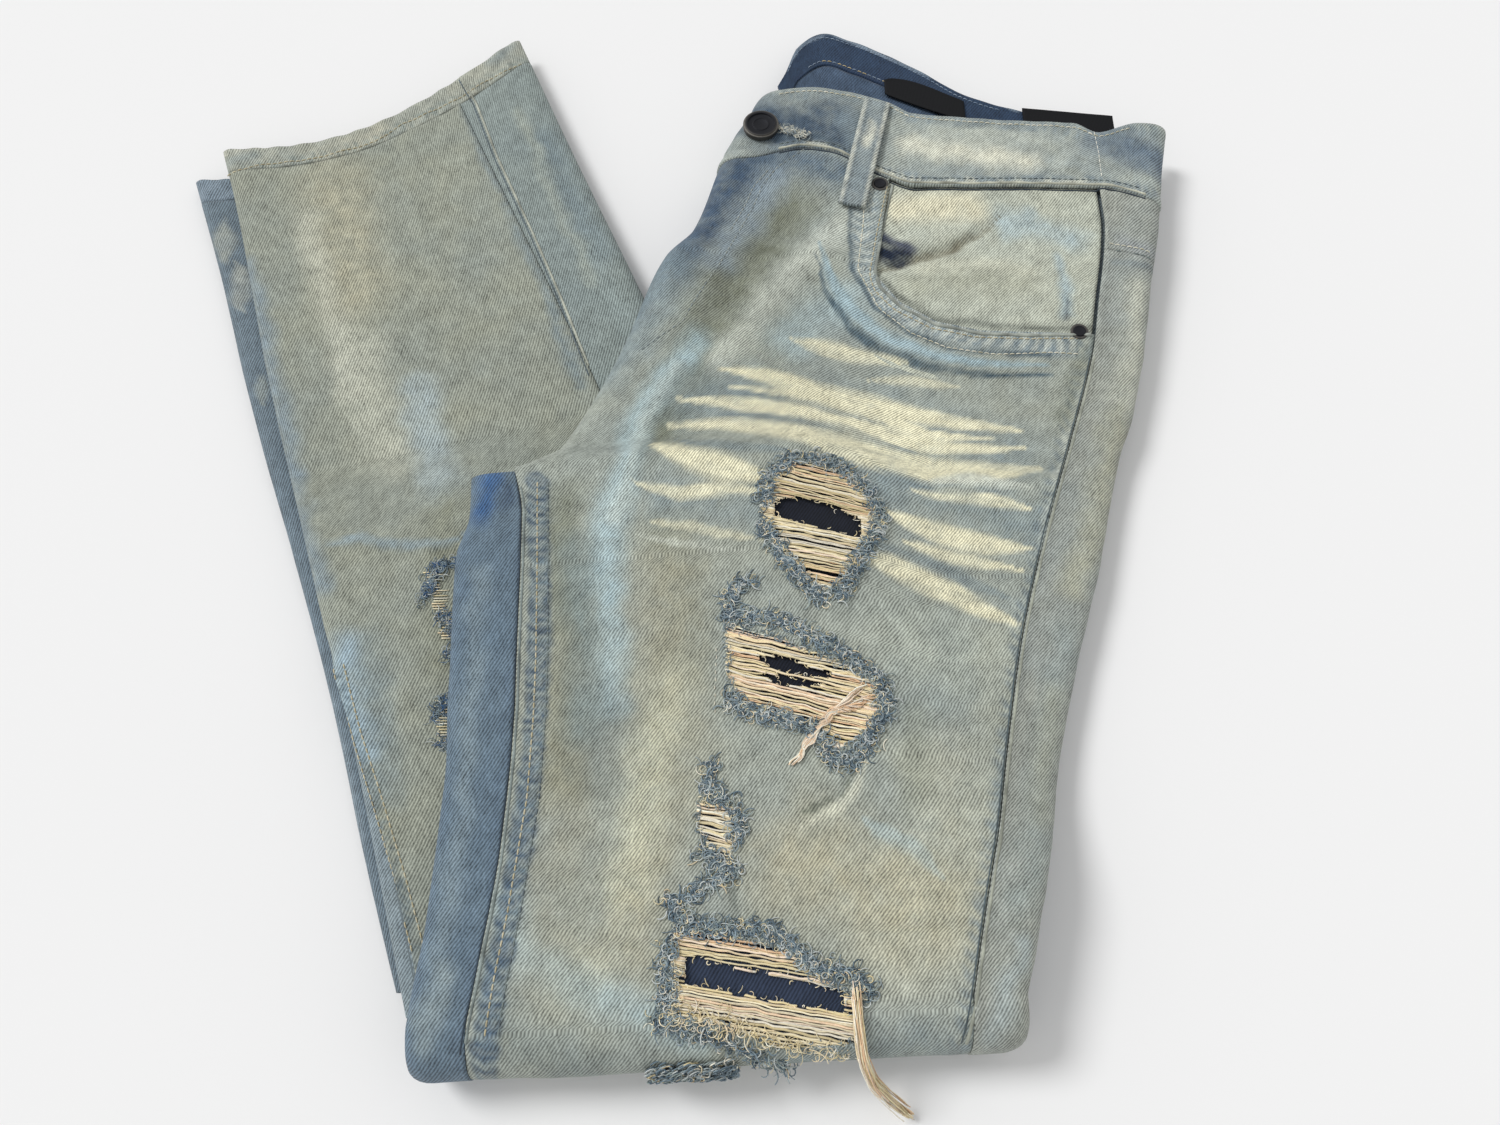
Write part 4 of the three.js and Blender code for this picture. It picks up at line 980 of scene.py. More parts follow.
@dataclass
class LeftLegUpper:
    """The left leg from the waistband's seam to the bend, front up, with the back turned under."""

    form: FoldedForm
    bend_end: float = 1.8
    yoke_v: float = 0.104
    lowest_skin: float = 14.0
    snap_reach: float = 2.4
    pieces: dict = field(default_factory=dict)

    def relief(self, x: np.ndarray, y: np.ndarray) -> np.ndarray:
        """Height of the front's creases, soft waves and puckers, in millimetres."""
        rise = 0.55 * cloud(x, y, 34, 41) + 0.22 * cloud(x, y, 12, 42) + 0.07 * cloud(x, y, 4, 43)
        for crease in FRONT_CREASES:
            rise = rise + crease.rise(x, y)
        seam = np.abs(x - self.form.outseam(y))
        pucker = 0.35 * np.exp(-((seam / 6) ** 2)) * np.sin(y / 3.2 + 2 * cloud(x, y, 30, 44))
        hole = np.zeros(np.shape(x))
        for rip in RIPS:
            d, _, _, _ = to_route([*rip.outline, rip.outline[0]], x, y)
            hole = np.maximum(hole, np.exp(-((d / 5) ** 2)))
        return rise * (1 - 0.7 * hole) + pucker + 0.7 * hole

    def rows(self) -> np.ndarray:
        """The rows of the front panel."""
        start = self.form.first_row
        turn = self.form.crotch_v
        return np.concatenate([np.linspace(start, turn - 0.025, 92), np.linspace(turn - 0.025, turn, 9)[1:],
                               np.linspace(turn, 1, 122)[1:], np.linspace(1, self.bend_end, 27)[1:]])

    def front_grid(self) -> np.ndarray:
        """The front panel's points before its creases."""
        form, v = self.form, self.rows()[:, None]
        half = form.half_stack(form.row_y(0.0, v))
        fold = form.crossing(form.centre_front, v)
        seam = form.crossing(form.inseam, v) + form.seam_gap / 2
        below = smooth((v - form.crotch_v + 0.025) / 0.025)
        right = form.crossing(form.outseam, v) - form.seam_gap / 2
        angle = np.radians(np.linspace(-60, 90, 12))[None, :]
        d, h = roll(angle, form.fly_edge, half)
        flat = seam + form.fly_edge * np.linspace(0, 1, 12)[None, :]
        turned_x, turned_h = mix(fold + d, flat, below), mix(h, 0, below)
        inner = np.linspace(0, 1, 138)[None, 1:]
        x = np.concatenate([turned_x, mix(turned_x[:, -1:], right, inner)], 1)
        height = np.concatenate([turned_h, np.zeros((len(v), inner.shape[1]))], 1)
        return form.upper(v, x, height)

    def build_front(self) -> None:
        """The front panel with its rips and pocket mouth, and its colour."""
        grid = self.front_grid()
        plan_x, plan_y = grid[..., 0].copy(), grid[..., 1].copy()
        top = grid[..., 2] > self.lowest_skin
        holes = [rip.outline for rip in RIPS] + [POCKET]
        middle = (grid[:-1, :-1] + grid[1:, 1:]) / 2
        keep = np.ones(middle.shape[:2], bool)
        for outline in holes:
            gone = inside(outline, middle[..., 0], middle[..., 1]) & (middle[..., 2] > self.lowest_skin)
            keep &= ~gone
        touched = np.zeros(plan_x.shape, bool)
        held = np.zeros(plan_x.shape, bool)
        for rows, cols in ((slice(0, -1), slice(0, -1)), (slice(0, -1), slice(1, None)),
                           (slice(1, None), slice(0, -1)), (slice(1, None), slice(1, None))):
            touched[rows, cols] |= ~keep
            held[rows, cols] |= keep
        rim = touched & held & top
        for outline in holes:
            d, _, nx, ny = to_route([*outline, outline[0]], plan_x, plan_y)
            snap = rim & (d < self.snap_reach)
            grid[..., 0] = np.where(snap, nx, grid[..., 0])
            grid[..., 1] = np.where(snap, ny, grid[..., 1])
        flat = smooth((grid[..., 0] - self.form.centre_front(grid[..., 1]) - 4) / 8)
        flat = np.where(grid[..., 1] < self.form.crotch_y, 1, flat)
        rise = self.relief(plan_x, plan_y) * np.where(top, 1, 0.3) * flat
        edge = smooth((self.form.outseam(plan_y) - plan_x) / 3)
        shaped = grid + normals(grid) * (rise * edge)[..., None]
        wash = Wash("#A0A497", "#82929A", FRONT_MARKS)
        self.pieces["left_front_panel"] = wall("left_front_panel", shaped, wash.paint(plan_x, plan_y),
                                               keep=keep)

    def build_inseam_side(self) -> None:
        """The back cloth that turns under along the inseam edge."""
        form = self.form
        v = np.concatenate([np.linspace(form.crotch_v + 0.004, 1, 122), np.linspace(1, self.bend_end,
                                                                                    27)[1:]])[:, None]
        edge = form.crossing(form.leg_edge, v)
        seam = form.crossing(form.inseam, v) - form.seam_gap / 2
        d, h = roll(np.radians(np.linspace(-60, 90, 10))[None, :], form.edge, form.leg / 2)
        across = np.linspace(0, 1, 11)[None, 1:]
        x = np.concatenate([edge + d, mix(edge + form.edge, seam, across)], 1)
        height = np.concatenate([h + 0 * v, 0 * across + 0 * v], 1)
        grid = form.upper(v, x, height)
        px, py = grid[..., 0], grid[..., 1]
        rise = 0.5 * cloud(px, py, 22, 51) + 0.8 * np.exp(-(((px + 78) / 5) ** 2 + ((py + 30) / 8) ** 2))
        marks = (Mark("#41618A", 0.9, 10, [(-80, -22), (-82, -40)]),
                 Mark(INDIGO, 0.6, 6, [(-70, -28), (-70, -36)]),
                 Mark("#8E9DA2", 0.4, 8, [(-80, -70), (-78, -120), (-76, -180), (-82, -240)]),
                 Mark("#5E7080", 0.6, 4, [(-88, -50), (-91, -120), (-87, -190), (-92, -270)]),
                 Mark("#58697A", 0.45, 3, [(-63, -60), (-61, -150), (-64, -220), (-70, -272)]),
                 Mark("#95A1A0", 0.5, 9, [(-78, -236), (-84, -262)]))
        wash = Wash("#5F7180", "#70808A", marks, seed=9)
        self.pieces["left_back_panel_inseam_side"] = wall(
            "left_back_panel_inseam_side", grid + normals(grid) * rise[..., None], wash.paint(px, py))

    def outer_grid(self, v: np.ndarray) -> np.ndarray:
        """Cloth from the outseam over the outer edge and under, on rows v."""
        form, v = self.form, v[:, None]
        half = form.half_stack(form.row_y(200.0, v)) / 2
        seam = form.crossing(form.outseam, v) + form.seam_gap / 2
        edge = form.crossing(form.outer_edge, v)
        d, h = roll(np.radians(np.linspace(90, -62, 12))[None, :], form.edge, half)
        across = np.linspace(0, 1, 12)[None, :-1]
        x = np.concatenate([mix(seam, edge - form.edge, across), edge - d], 1)
        height = np.concatenate([0 * across + 0 * v, h + 0 * v], 1)
        return form.upper(v, x, height)

    def build_outer_side(self) -> None:
        """The yoke and the back panel, round the outer edge."""
        start = self.form.first_row
        marks = (Mark("#8F9498", 0.5, 8, [(236, 124), (250, 120)]), Mark("#6E7A80", 0.5, 4, [(228, 112),
                                                                                             (250, 110)]),
                 Mark("#C2C4B4", 0.6, 12, [(240, 96), (234, 60), (226, 30)]),
                 Mark("#A8A893", 0.55, 12, [(222, 20), (206, -30), (190, -70)]),
                 Mark("#8F9A98", 0.5, 12, [(184, -90), (166, -150), (148, -210)]),
                 Mark("#A7A895", 0.4, 10, [(176, -120), (160, -176)]),
                 Mark("#9FAEB2", 0.4, 8, [(146, -226), (134, -258)]))
        wash = Wash("#9B9E94", "#8C989C", marks, seed=12)
        for name, v in (("left_back_yoke", np.linspace(start, self.yoke_v, 24)),
                        ("left_back_panel_outseam_side",
                         np.concatenate([np.linspace(self.yoke_v + 0.0008, 1, 186),
                                         np.linspace(1, self.bend_end, 27)[1:]]))):
            grid = self.outer_grid(v)
            px, py = grid[..., 0], grid[..., 1]
            across = smooth((px - self.form.outseam(py)) / 8)
            rise = (0.6 * cloud(px, py, 20, 61) + 0.25 * cloud(px, py, 8, 62)) * across
            rise += 0.9 * np.exp(-(((px - self.form.outseam(py) - 1.6) / 1.6) ** 2))
            self.pieces[name] = wall(name, grid + normals(grid) * rise[..., None], wash.paint(px, py))

    def build_facing(self) -> None:
        """The pocket's facing, creased where the bag has slipped."""
        form = self.form
        v = np.linspace(form.first_row, 0.345, 76)[:, None]
        fold = form.crossing(form.centre_front, v) + form.fly_edge
        right = form.crossing(form.outseam, v) - 1.2
        x = mix(fold, right, np.linspace(1 / 3, 1, 82)[None, :])
        grid = form.upper(v, x, -(form.cloth + form.seam_gap) + 0 * x)
        px, py = grid[..., 0], grid[..., 1]
        rise = 0.3 * cloud(px, py, 16, 71) + 0.1 * cloud(px, py, 5, 72)
        for crease in (Crease(-2.6, 5.0, [(100, 106), (112, 110), (128, 116), (146, 122), (160, 132), (176,
                                                                                                       146)]),
                       Crease(2.2, 8.0, [(112, 124), (132, 126), (150, 132), (166, 142)]),
                       Crease(0.9, 8, [(120, 98), (146, 104), (172, 112), (196, 118)]),
                       Crease(-0.8, 4, [(203, 92), (200, 80)]),
                       Crease(0.8, 7, [(196, 146), (178, 138), (190, 122)]),
                       Crease(0.7, 6, [(120, 150), (150, 152), (186, 152)])):
            rise = rise + crease.rise(px, py)
        marks = (Mark("#D4D0B6", 0.95, 17, [(118, 150), (136, 150), (156, 150)]),
                 Mark("#A7A997", 0.6, 16, [(124, 100), (150, 102), (180, 100)]),
                 Mark("#C4C5B2", 0.5, 8, [(130, 110), (160, 112), (186, 108)]),
                 Mark("#A5B6B9", 0.7, 14, [(176, 142), (200, 134), (212, 128)]),
                 Mark("#9DB2BA", 0.6, 6, [(200, 116), (204, 100), (201, 84)]),
                 Mark("#A5B6B9", 0.5, 8, [(176, 130), (190, 146)]),
                 # Painted shade down the facing's long crease.
                 Mark("#74705F", 0.75, 4.5, [(104, 107), (128, 115), (146, 121), (160, 131), (176, 146)],
                      Tip.WISP),
                 # The next two: painted shade, a dark patch where the facing's fold leaves a gap.
                 Mark("#1B2638", 1.2, 8.5, [(107, 128), (112, 119), (119, 118)], Tip.LINE),
                 Mark("#4E5462", 0.8, 4.0, [(110, 132), (118, 124), (126, 120)]),
                 # Painted shade in a small crease.
                 Mark("#5C6468", 0.6, 2.4, [(203, 90), (201, 80)]),
                 Mark("#6F746C", 0.7, 4.0, [(108, 104), (118, 91), (136, 80), (158, 75), (186, 74), (212,
                                                                                                     73)]))
        wash = Wash("#B7BAAA", "#AAB3AB", marks, cloud_size=18, seed=15)
        self.pieces["front_pocket_facing"] = wall(
            "front_pocket_facing", grid + normals(grid) * rise[..., None], wash.paint(px, py))

    def build_backings(self) -> None:
        """The dark cloth sewn behind the rips."""
        form = self.form
        depth = form.cloth + form.seam_gap + 0.2
        for name, x0, x1, y0, y1, colour in (("rip_backing_thigh", 26, 108, -2, -160, NAVY),
                                             ("rip_backing_knee", 4, 92, -164, -270, "#2A3344")):
            x = np.linspace(x0, x1, 42)[None, :]
            y = np.linspace(y0, y1, 70)[:, None]
            if y1 < -200:
                turn = np.linspace(0, 0.42, 14)[1:, None]
                flat = np.linspace(y0, float(form.bend_axis(50.0)), 52)[:, None]
                v = np.concatenate([form.row_of(x, flat), 1 + turn + 0 * x])
            else:
                v = form.row_of(x, y)
            grid = form.upper(v, x + 0 * v, -depth + 0 * v)
            px, py = grid[..., 0], grid[..., 1]
            rise = 0.2 * cloud(px, py, 14, 81)
            wash = Wash(colour, "#1A1F2C" if colour == NAVY else "#38435A", cloud_amount=0.5, seed=18)
            self.pieces[name] = wall(name, grid + normals(grid) * rise[..., None], wash.paint(px, py),
                                     inward=1.0)

    def build(self) -> dict:
        """All of this leg's cloth."""
        self.build_front()
        self.build_inseam_side()
        self.build_outer_side()
        self.build_facing()
        self.build_backings()
        for name in self.pieces:
            LOG.info("made %s", name)
        return self.pieces


# ---- Waistband and what shows inside it -------------------------------------------------------
@dataclass
class Waistbands:
    """The front band round the fold, and inside it the two back bands with their labels."""

    form: FoldedForm
    band: float = 3.0
    lift: float = 0.8
    back_z: float = 14.0
    right_back_z: float = 9.0
    pieces: dict = field(default_factory=dict)

    def front_band(self) -> None:
        """The left front band, rippled along its edges by the stitching."""
        form, half = self.form, self.form.hip_leg
        v = np.linspace(-1, -form.first_row, 34)[:, None]
        fold, edge = form.crossing(form.centre_front, v), form.crossing(form.outer_edge, v)
        d, h = roll(np.radians(np.linspace(-60, 90, 12))[None, :], form.fly_edge, half)
        e, k = roll(np.radians(np.linspace(90, -60, 11))[None, :], form.edge, half / 2)
        across = np.linspace(0, 1, 112)[None, 1:-1]
        x = np.concatenate([fold + d, mix(fold + form.fly_edge, edge - form.edge, across), edge - e], 1)
        height = np.concatenate([h + 0 * v, 0 * across + 0 * v, k + 0 * v], 1)
        grid = form.upper(v, x, height)
        px, py = grid[..., 0], grid[..., 1]
        rise = 0.35 * cloud(px, py, 20, 91) + 0.12 * cloud(px, py, 6, 92)
        rise += 0.35 * np.exp(-(((v + 0.06) / 0.05) ** 2)) * (1 + 0.5 * np.sin(px / 2.6))
        rise += 0.3 * np.exp(-(((v + 0.95) / 0.05) ** 2)) * (1 + 0.5 * np.sin(px / 2.9))
        rise -= 0.35 * np.exp(-(((v + 0.16) / 0.05) ** 2))
        for crease in (Crease(-0.9, 4, [(128, 214), (124, 192), (126, 168)]), Crease(0.9, 7, [(140, 208),
                                                                                              (148, 170)]),
                       Crease(-0.7, 5, [(214, 206), (222, 184), (216, 166)])):
            rise = rise + crease.rise(px, py)
        marks = (Mark("#465666", 0.9, 32, [(40, 214), (58, 200), (84, 208), (92, 196)]),
                 Mark("#7C8A90", 0.7, 14, [(96, 208), (98, 192)]),
                 Mark("#D6D6C4", 0.85, 13, [(130, 190), (150, 188), (176, 184), (190, 180)]),
                 Mark("#BFC4B8", 0.6, 12, [(140, 202), (170, 198), (200, 196)]),
                 Mark("#8A9494", 0.6, 6, [(128, 212), (160, 208), (200, 206)]),
                 Mark("#D9D8C4", 0.5, 3, [(70, 192), (100, 180), (130, 165), (180, 165), (226, 164)]),
                 Mark("#6C7A86", 0.7, 16, [(228, 194), (246, 184), (262, 178)]),
                 Mark("#B5BCB4", 0.5, 8, [(206, 176), (214, 192)]),
                 Mark("#4C5B66", 0.5, 3.5, [(58, 196), (78, 196), (92, 186)]),
                 Mark("#5F6F7E", 0.7, 18, [(240, 198), (252, 188), (264, 180)]),
                 Pucker("#76848B", 0.7, 5, [(62, 192), (92, 184), (110, 174), (134, 167), (228, 166), (256,
                                                                                                       158)], 6.0),
                 Pucker("#7C8A90", 0.55, 6, [(60, 228), (92, 228), (130, 211), (200, 205), (228, 199), (262,
                                                                                                        202)], 8.0))
        wash = Wash("#A3A9A0", "#8D999C", marks, cloud_size=9, cloud_amount=0.7, seed=27)
        self.pieces["left_front_waistband"] = wall(
            "left_front_waistband", grid + normals(grid) * rise[..., None], wash.paint(px, py),
            out=self.lift, inward=self.band - self.lift)

    def flat(self, name: str, x0: float, x1: float, low: Callable, high: Callable, z: float, thick: float,
             wash: Wash, size: tuple[int, int] = (26, 96)) -> None:
        """A band or strip of cloth that lies flat inside the waist.

        Args:
            name: the node that it stands for.
            x0: its left end.
            x1: its right end.
            low: its lower edge, y for x.
            high: its upper edge, y for x.
            z: height of its upper face.
            thick: its thickness.
            wash: its colours.
            size: rows and columns.
        """
        x = np.linspace(x0, x1, size[1])[None, :]
        y = mix(high(x), low(x), np.linspace(0, 1, size[0])[:, None])
        rise = 0.35 * cloud(x + 0 * y, y, 22, 95) + 0.1 * cloud(x + 0 * y, y, 6, 96)
        edge = np.minimum(np.linspace(0, 1, size[0]), np.linspace(1, 0, size[0]))[:, None]
        rise = rise + 0.4 * np.exp(-((edge / 0.05) ** 2)) * (0.6 + 0.4 * np.sin(x / 2.7)) - 0.5
        grid = np.stack([x + 0 * y, y, z + rise], -1)
        self.pieces[name] = wall(name, grid, wash.paint(grid[..., 0], grid[..., 1]), inward=thick - 0.5)

    def back_bands(self) -> None:
        """The back bands, seen from their insides, and the cloth below them."""
        form = self.form
        deep = Wash("#26364C", "#31455E",
                    (Mark("#8B9AA8", 0.6, 1.6, [(60, 262), (70, 282), (86, 293), (100, 286), (143, 259),
                                                        (193, 231)], Tip.LINE),
                                           Mark("#22304A", 0.5, 7, [(70, 256), (100, 262), (140, 240)])),
                                           12, 0.7, 29)

        def seam(x: Numbers) -> Numbers:
            """Lower edge of the left back band."""
            return np.maximum(form.back_top(x) - 25, form.band_top(x) - 12)

        self.flat("left_back_waistband", 57, 250, seam, form.back_top, self.back_z, self.band, deep)
        self.flat("left_back_panel_inside", 52, 175, lambda x: form.band_top(x) - 22,
                  lambda x: seam(x) - form.seam_gap, self.back_z - 1, form.cloth,
                  Wash("#3A4A5E", "#52647A", (Mark("#6E7F92", 0.5, 5, [(58, 246), (70, 262)]),), 9, 0.8, 30))
        self.flat("right_back_waistband", 57, 250, lambda x: form.band_top(x) - 12,
                  lambda x: form.back_top(x) - 1, self.right_back_z, self.band, deep)
        self.flat("right_front_waistband", 52, 258, lambda x: form.band_top(x) - 22,
                  lambda x: form.band_top(x) - 1, self.band, self.band,
                  Wash("#8F9999", "#A3A9A0", (), 14, 0.6, 31))

    def build(self) -> dict:
        """All the bands."""
        self.front_band()
        self.back_bands()
        return self.pieces


# ---- Lower legs -------------------------------------------------------------------------------
RIGHT_FRONT_MARKS = (
    Mark("#A9A792", 0.8, 34, [(-190, 176), (-178, 140), (-168, 104)]),
    Mark("#B9BBAB", 0.7, 22, [(-160, 66), (-148, 30), (-136, 4)]),
    Mark("#A9B8BC", 0.6, 16, [(-126, 40), (-116, 6), (-108, -16)]),
    Mark("#8D9080", 0.8, 16, [(-104, -24), (-106, -46), (-100, -104)]),
    Mark("#8A9AA0", 0.7, 5, [(-163, -46), (-144, -43), (-125, -46), (-106, -46), (-93, -40)], Tip.WISP),
    Mark("#7C8C96", 0.7, 10, [(-228, 120), (-214, 84), (-196, 36), (-178, -20), (-160, -66)]),
    Mark("#7E8E94", 0.6, 18, [(-118, -160), (-126, -130), (-134, -100)]),
    # Painted highlight on the crease ridge here.
    Mark("#9CB2BF", 0.7, 13, [(-144, -96), (-138, -122), (-130, -146)]),
    Mark("#6B7A82", 0.5, 9, [(-110, -200), (-98, -228)]),
    Pucker("#55666F", 0.6, 6, [(-146, -108), (-134, -140), (-120, -171), (-106, -201), (-95, -229)]),
    Pucker("#7C8789", 0.5, 5, [(-129, 250), (-106, 192), (-84, 144), (-64, 96), (-46, 48)]),
    Mark("#7C8A8E", 0.6, 5, [(-129, 245), (-106, 188), (-84, 140), (-64, 92), (-46, 44)]),
    Mark("#C4C5B5", 0.4, 12, [(-200, 150), (-186, 110), (-160, 40)]),
)


@dataclass
class LowerLegs:
    """Both legs below the knee, turned under: the right leg's front above the left leg's back."""

    form: FoldedForm
    outseam_in: float = 42.0
    pieces: dict = field(default_factory=dict)

    def right_inseam(self, t: Numbers) -> Numbers:
        """Distance in from the leg's edge of the right inseam."""
        return mix(-4, 10, smooth((t - 0.5) / 0.45))

    def leg_wall(self, name: str, edges: tuple[Edge, Edge], top: Callable, t: np.ndarray, d: np.ndarray,
                 h: np.ndarray, wash: Wash, creases: Sequence[Crease] = ()) -> None:
        """A wall of a lower leg.

        Args:
            name: the node that it stands for.
            edges: the leg's left and right edges.
            top: height of its top at t.
            t: rows, as a column.
            d: distance in from the left edge, row by row.
            h: height from the top.
            wash: its colours.
            creases: its creases.
        """
        grid = self.form.lower(*edges, top, t, d, h)
        px, py = grid[..., 0], grid[..., 1]
        rise = 0.5 * cloud(px, py, 30, 101) + 0.2 * cloud(px, py, 10, 102) + 0.06 * cloud(px, py, 4, 103)
        for crease in creases:
            rise = rise + crease.rise(px, py)
        seam = np.exp(-(((d - d[:, -1:]) / 2.5) ** 2))
        rise = np.clip(rise, -0.6, 2) * np.where(h < -2, 0.3, 1) + 0.5 * seam
        self.pieces[name] = wall(name, grid + normals(grid) * rise[..., None], wash.paint(px, py))

    def right_front(self) -> None:
        """The right leg's front, from its left edge or inseam to the outseam."""
        form = self.form
        edges = (form.right_left, form.right_right)
        under = Through([(0, 300), (0.4, 176), (0.45, 164), (0.5, 128), (0.56, 92), (0.7, 66), (0.8, 50),
                         (0.9, 34), (1, 20)])
        t = np.linspace((form.hem + form.seam_gap) / form.right_length, 0.985, 200)[:, None]
        width = form.leg_width(*edges, t)
        shown = smooth((t - 0.6) / 0.1)
        seam = self.right_inseam(t) + form.seam_gap / 2
        d, h = roll(np.radians(np.linspace(-60, 90, 11))[None, :], form.edge, form.right_half(t))
        flat = seam + np.linspace(0, 8, 11)[None, :]
        turned_d, turned_h = mix(d, flat, shown), mix(h, 0, shown)
        end = np.minimum(width - self.outseam_in, under(t)) - form.seam_gap / 2
        inner = np.linspace(0, 1, 66)[None, 1:]
        reach = np.concatenate([turned_d, mix(turned_d[:, -1:], end, inner)], 1)
        height = np.concatenate([turned_h, np.zeros((len(t), 65))], 1)
        creases = (Crease(1.0, 5, [(-163, -48), (-144, -44), (-125, -47), (-106, -47), (-93, -41)]),
                   Crease(-1.0, 4, [(-162, -54), (-140, -51), (-118, -54), (-98, -50)]),
                   Crease(0.9, 12, [(-150, -92), (-138, -124), (-126, -150)]),
                   Crease(-0.7, 10, [(-124, -80), (-120, -130), (-108, -170)]),
                   Crease(0.8, 14, [(-200, 150), (-170, 80), (-140, 10)]),
                   Crease(0.8, 4, [(-110, -72), (-104, -58), (-94, -60)]))
        self.leg_wall("right_front_panel_lower", edges, form.right_top, t, reach, height,
                      Wash("#979A8B", "#828E90", RIGHT_FRONT_MARKS, seed=41), creases)

    def right_back(self) -> None:
        """The right leg's back, which shows past its outseam."""
        form = self.form
        edges = (form.right_left, form.right_right)
        t = np.linspace((form.hem + form.seam_gap) / form.right_length, 0.5, 110)[:, None]
        width = form.leg_width(*edges, t)
        e, h = roll(np.radians(np.linspace(90, -60, 11))[None, :], form.edge, form.right_half(t))
        across = np.linspace(0, 1, 16)[None, :-1]
        start = width - self.outseam_in + form.seam_gap / 2
        reach = np.concatenate([mix(start, width - form.edge, across), width - e], 1)
        height = np.concatenate([0 * across + 0 * t, h + 0 * t], 1)
        marks = (Mark("#75848A", 0.6, 16, [(-76, 206), (-62, 172), (-42, 124)]),
                 Mark("#8E9A98", 0.6, 12, [(-50, 132), (-32, 96), (-14, 60)]),
                 Mark("#A9AE9F", 0.4, 6, [(-92, 226), (-70, 172), (-44, 108)]))
        self.leg_wall("right_back_panel_lower", edges, form.right_top, t, reach, height,
                      Wash("#8A9490", "#7B888B", marks, seed=43))

    def left_back(self) -> None:
        """The left leg's back, the strip that shows past the right leg."""
        form = self.form
        edges = (form.left_left, form.left_right)
        t = np.linspace((form.hem + form.seam_gap) / form.left_length, 0.97, 190)[:, None]
        e, h = roll(np.radians(np.linspace(-25, 90, 9))[None, :], form.edge, form.left_half(t))
        inner = np.linspace(form.edge, 44, 18)[None, 1:]
        reach = np.concatenate([e + 0 * t, inner + 0 * t], 1)
        height = np.concatenate([h + 0 * t, 0 * inner + 0 * t], 1)
        marks = (Mark("#A9ACA0", 0.5, 9, [(-251, 158), (-248, 142), (-244, 126)], Tip.WISP),
                 Mark("#B0B2A6", 0.5, 9, [(-239, 128), (-233, 110), (-228, 96)], Tip.WISP),
                 Mark("#A3A99F", 0.5, 6, [(-214, 56), (-206, 36)], Tip.WISP),
                 Mark("#74848F", 0.5, 5, [(-190, -12), (-176, -50), (-160, -92)]),
                 Mark("#93A1AA", 0.4, 5, [(-156, -108), (-142, -140), (-128, -180)]))
        self.leg_wall("left_back_panel_lower", edges, form.left_top, t, reach, height,
                      Wash("#66747E", "#74828A", marks, seed=45))

    def hem_loop(self, name: str, edges: tuple[Edge, Edge], top: Callable, half: Callable, length: float,
                 wash: Wash) -> None:
        """A turned hem: a flattened loop with an inside, roped by its stitching.

        Args:
            name: the node that it stands for.
            edges: the leg's left and right edges.
            top: height of the leg's top at t.
            half: half its thickness at t.
            length: the leg's length from hem to bend.
            wash: its colours.
        """
        form = self.form
        rows = [(t, 0.0) for t in np.linspace(0.0004, form.hem / length, 11)]
        rows += [(t, 2.0) for t in np.linspace(form.hem / length, 0.0004, 11)]
        rings = []
        for t, inset in rows:
            t = np.array(t)
            width = form.leg_width(*edges, t)
            b, reach = half(t) - inset, form.edge - inset
            arc = np.radians(np.linspace(90, -90, 13))
            side = inset + reach * (1 - np.cos(arc))
            flat = np.linspace(1, 0, 72)[1:-1]
            d = np.concatenate([width - side, mix(side[-1], width - side[-1], flat), side[::-1],
                                mix(side[0], width - side[0], 1 - flat)])
            h = np.concatenate([b * np.sin(arc), np.full(70, -b), b * np.sin(arc[::-1]), np.full(70, b)])
            along = t * length
            ripple = 0.4 * np.sin((d + along) / 2.6 + 1.2 * cloud(d, 0 * d + along, 18, 105)) * (inset == 0)
            h = h + np.where(h > 0, ripple, 0) * smooth((h - 0.6 * b) / (0.4 * b))
            rings.append(form.lower(*edges, top, t, d, h - half(t)))
        self.pieces[name] = tube_ring(name, np.array(rings), wash.paint, closed=True)

    def build(self) -> dict:
        """Both legs and their hems."""
        form = self.form
        self.right_front()
        self.right_back()
        self.left_back()
        marks = (Mark("#B5B3A1", 0.6, 10, [(-200, 196), (-184, 204), (-170, 214)]),
                 Mark("#8E9A9A", 0.5, 6, [(-250, 190), (-236, 196)]),
                 Mark("#7F8C90", 0.5, 8, [(-112, 268), (-100, 282)]),
                 Pucker("#7E8A86", 0.6, 6, [(-250, 183), (-205, 193), (-172, 205), (-129, 237), (-92, 267)],
                        6.5),
                 Pucker("#C9C8B8", 0.5, 5, [(-255, 199), (-213, 209), (-165, 235), (-132, 257), (-102,
                                                                                                 285)], 6.0))
        self.hem_loop("right_hem", (form.right_left, form.right_right), form.right_top, form.right_half,
                      form.right_length, Wash("#A9AA9B", "#8E9896", marks, 10, 0.6, 47))
        self.hem_loop("left_hem", (form.left_left, form.left_right), form.left_top, form.left_half,
                      form.left_length, Wash("#7F8D98", "#71808C", (), 10, 0.6, 48))
        return self.pieces


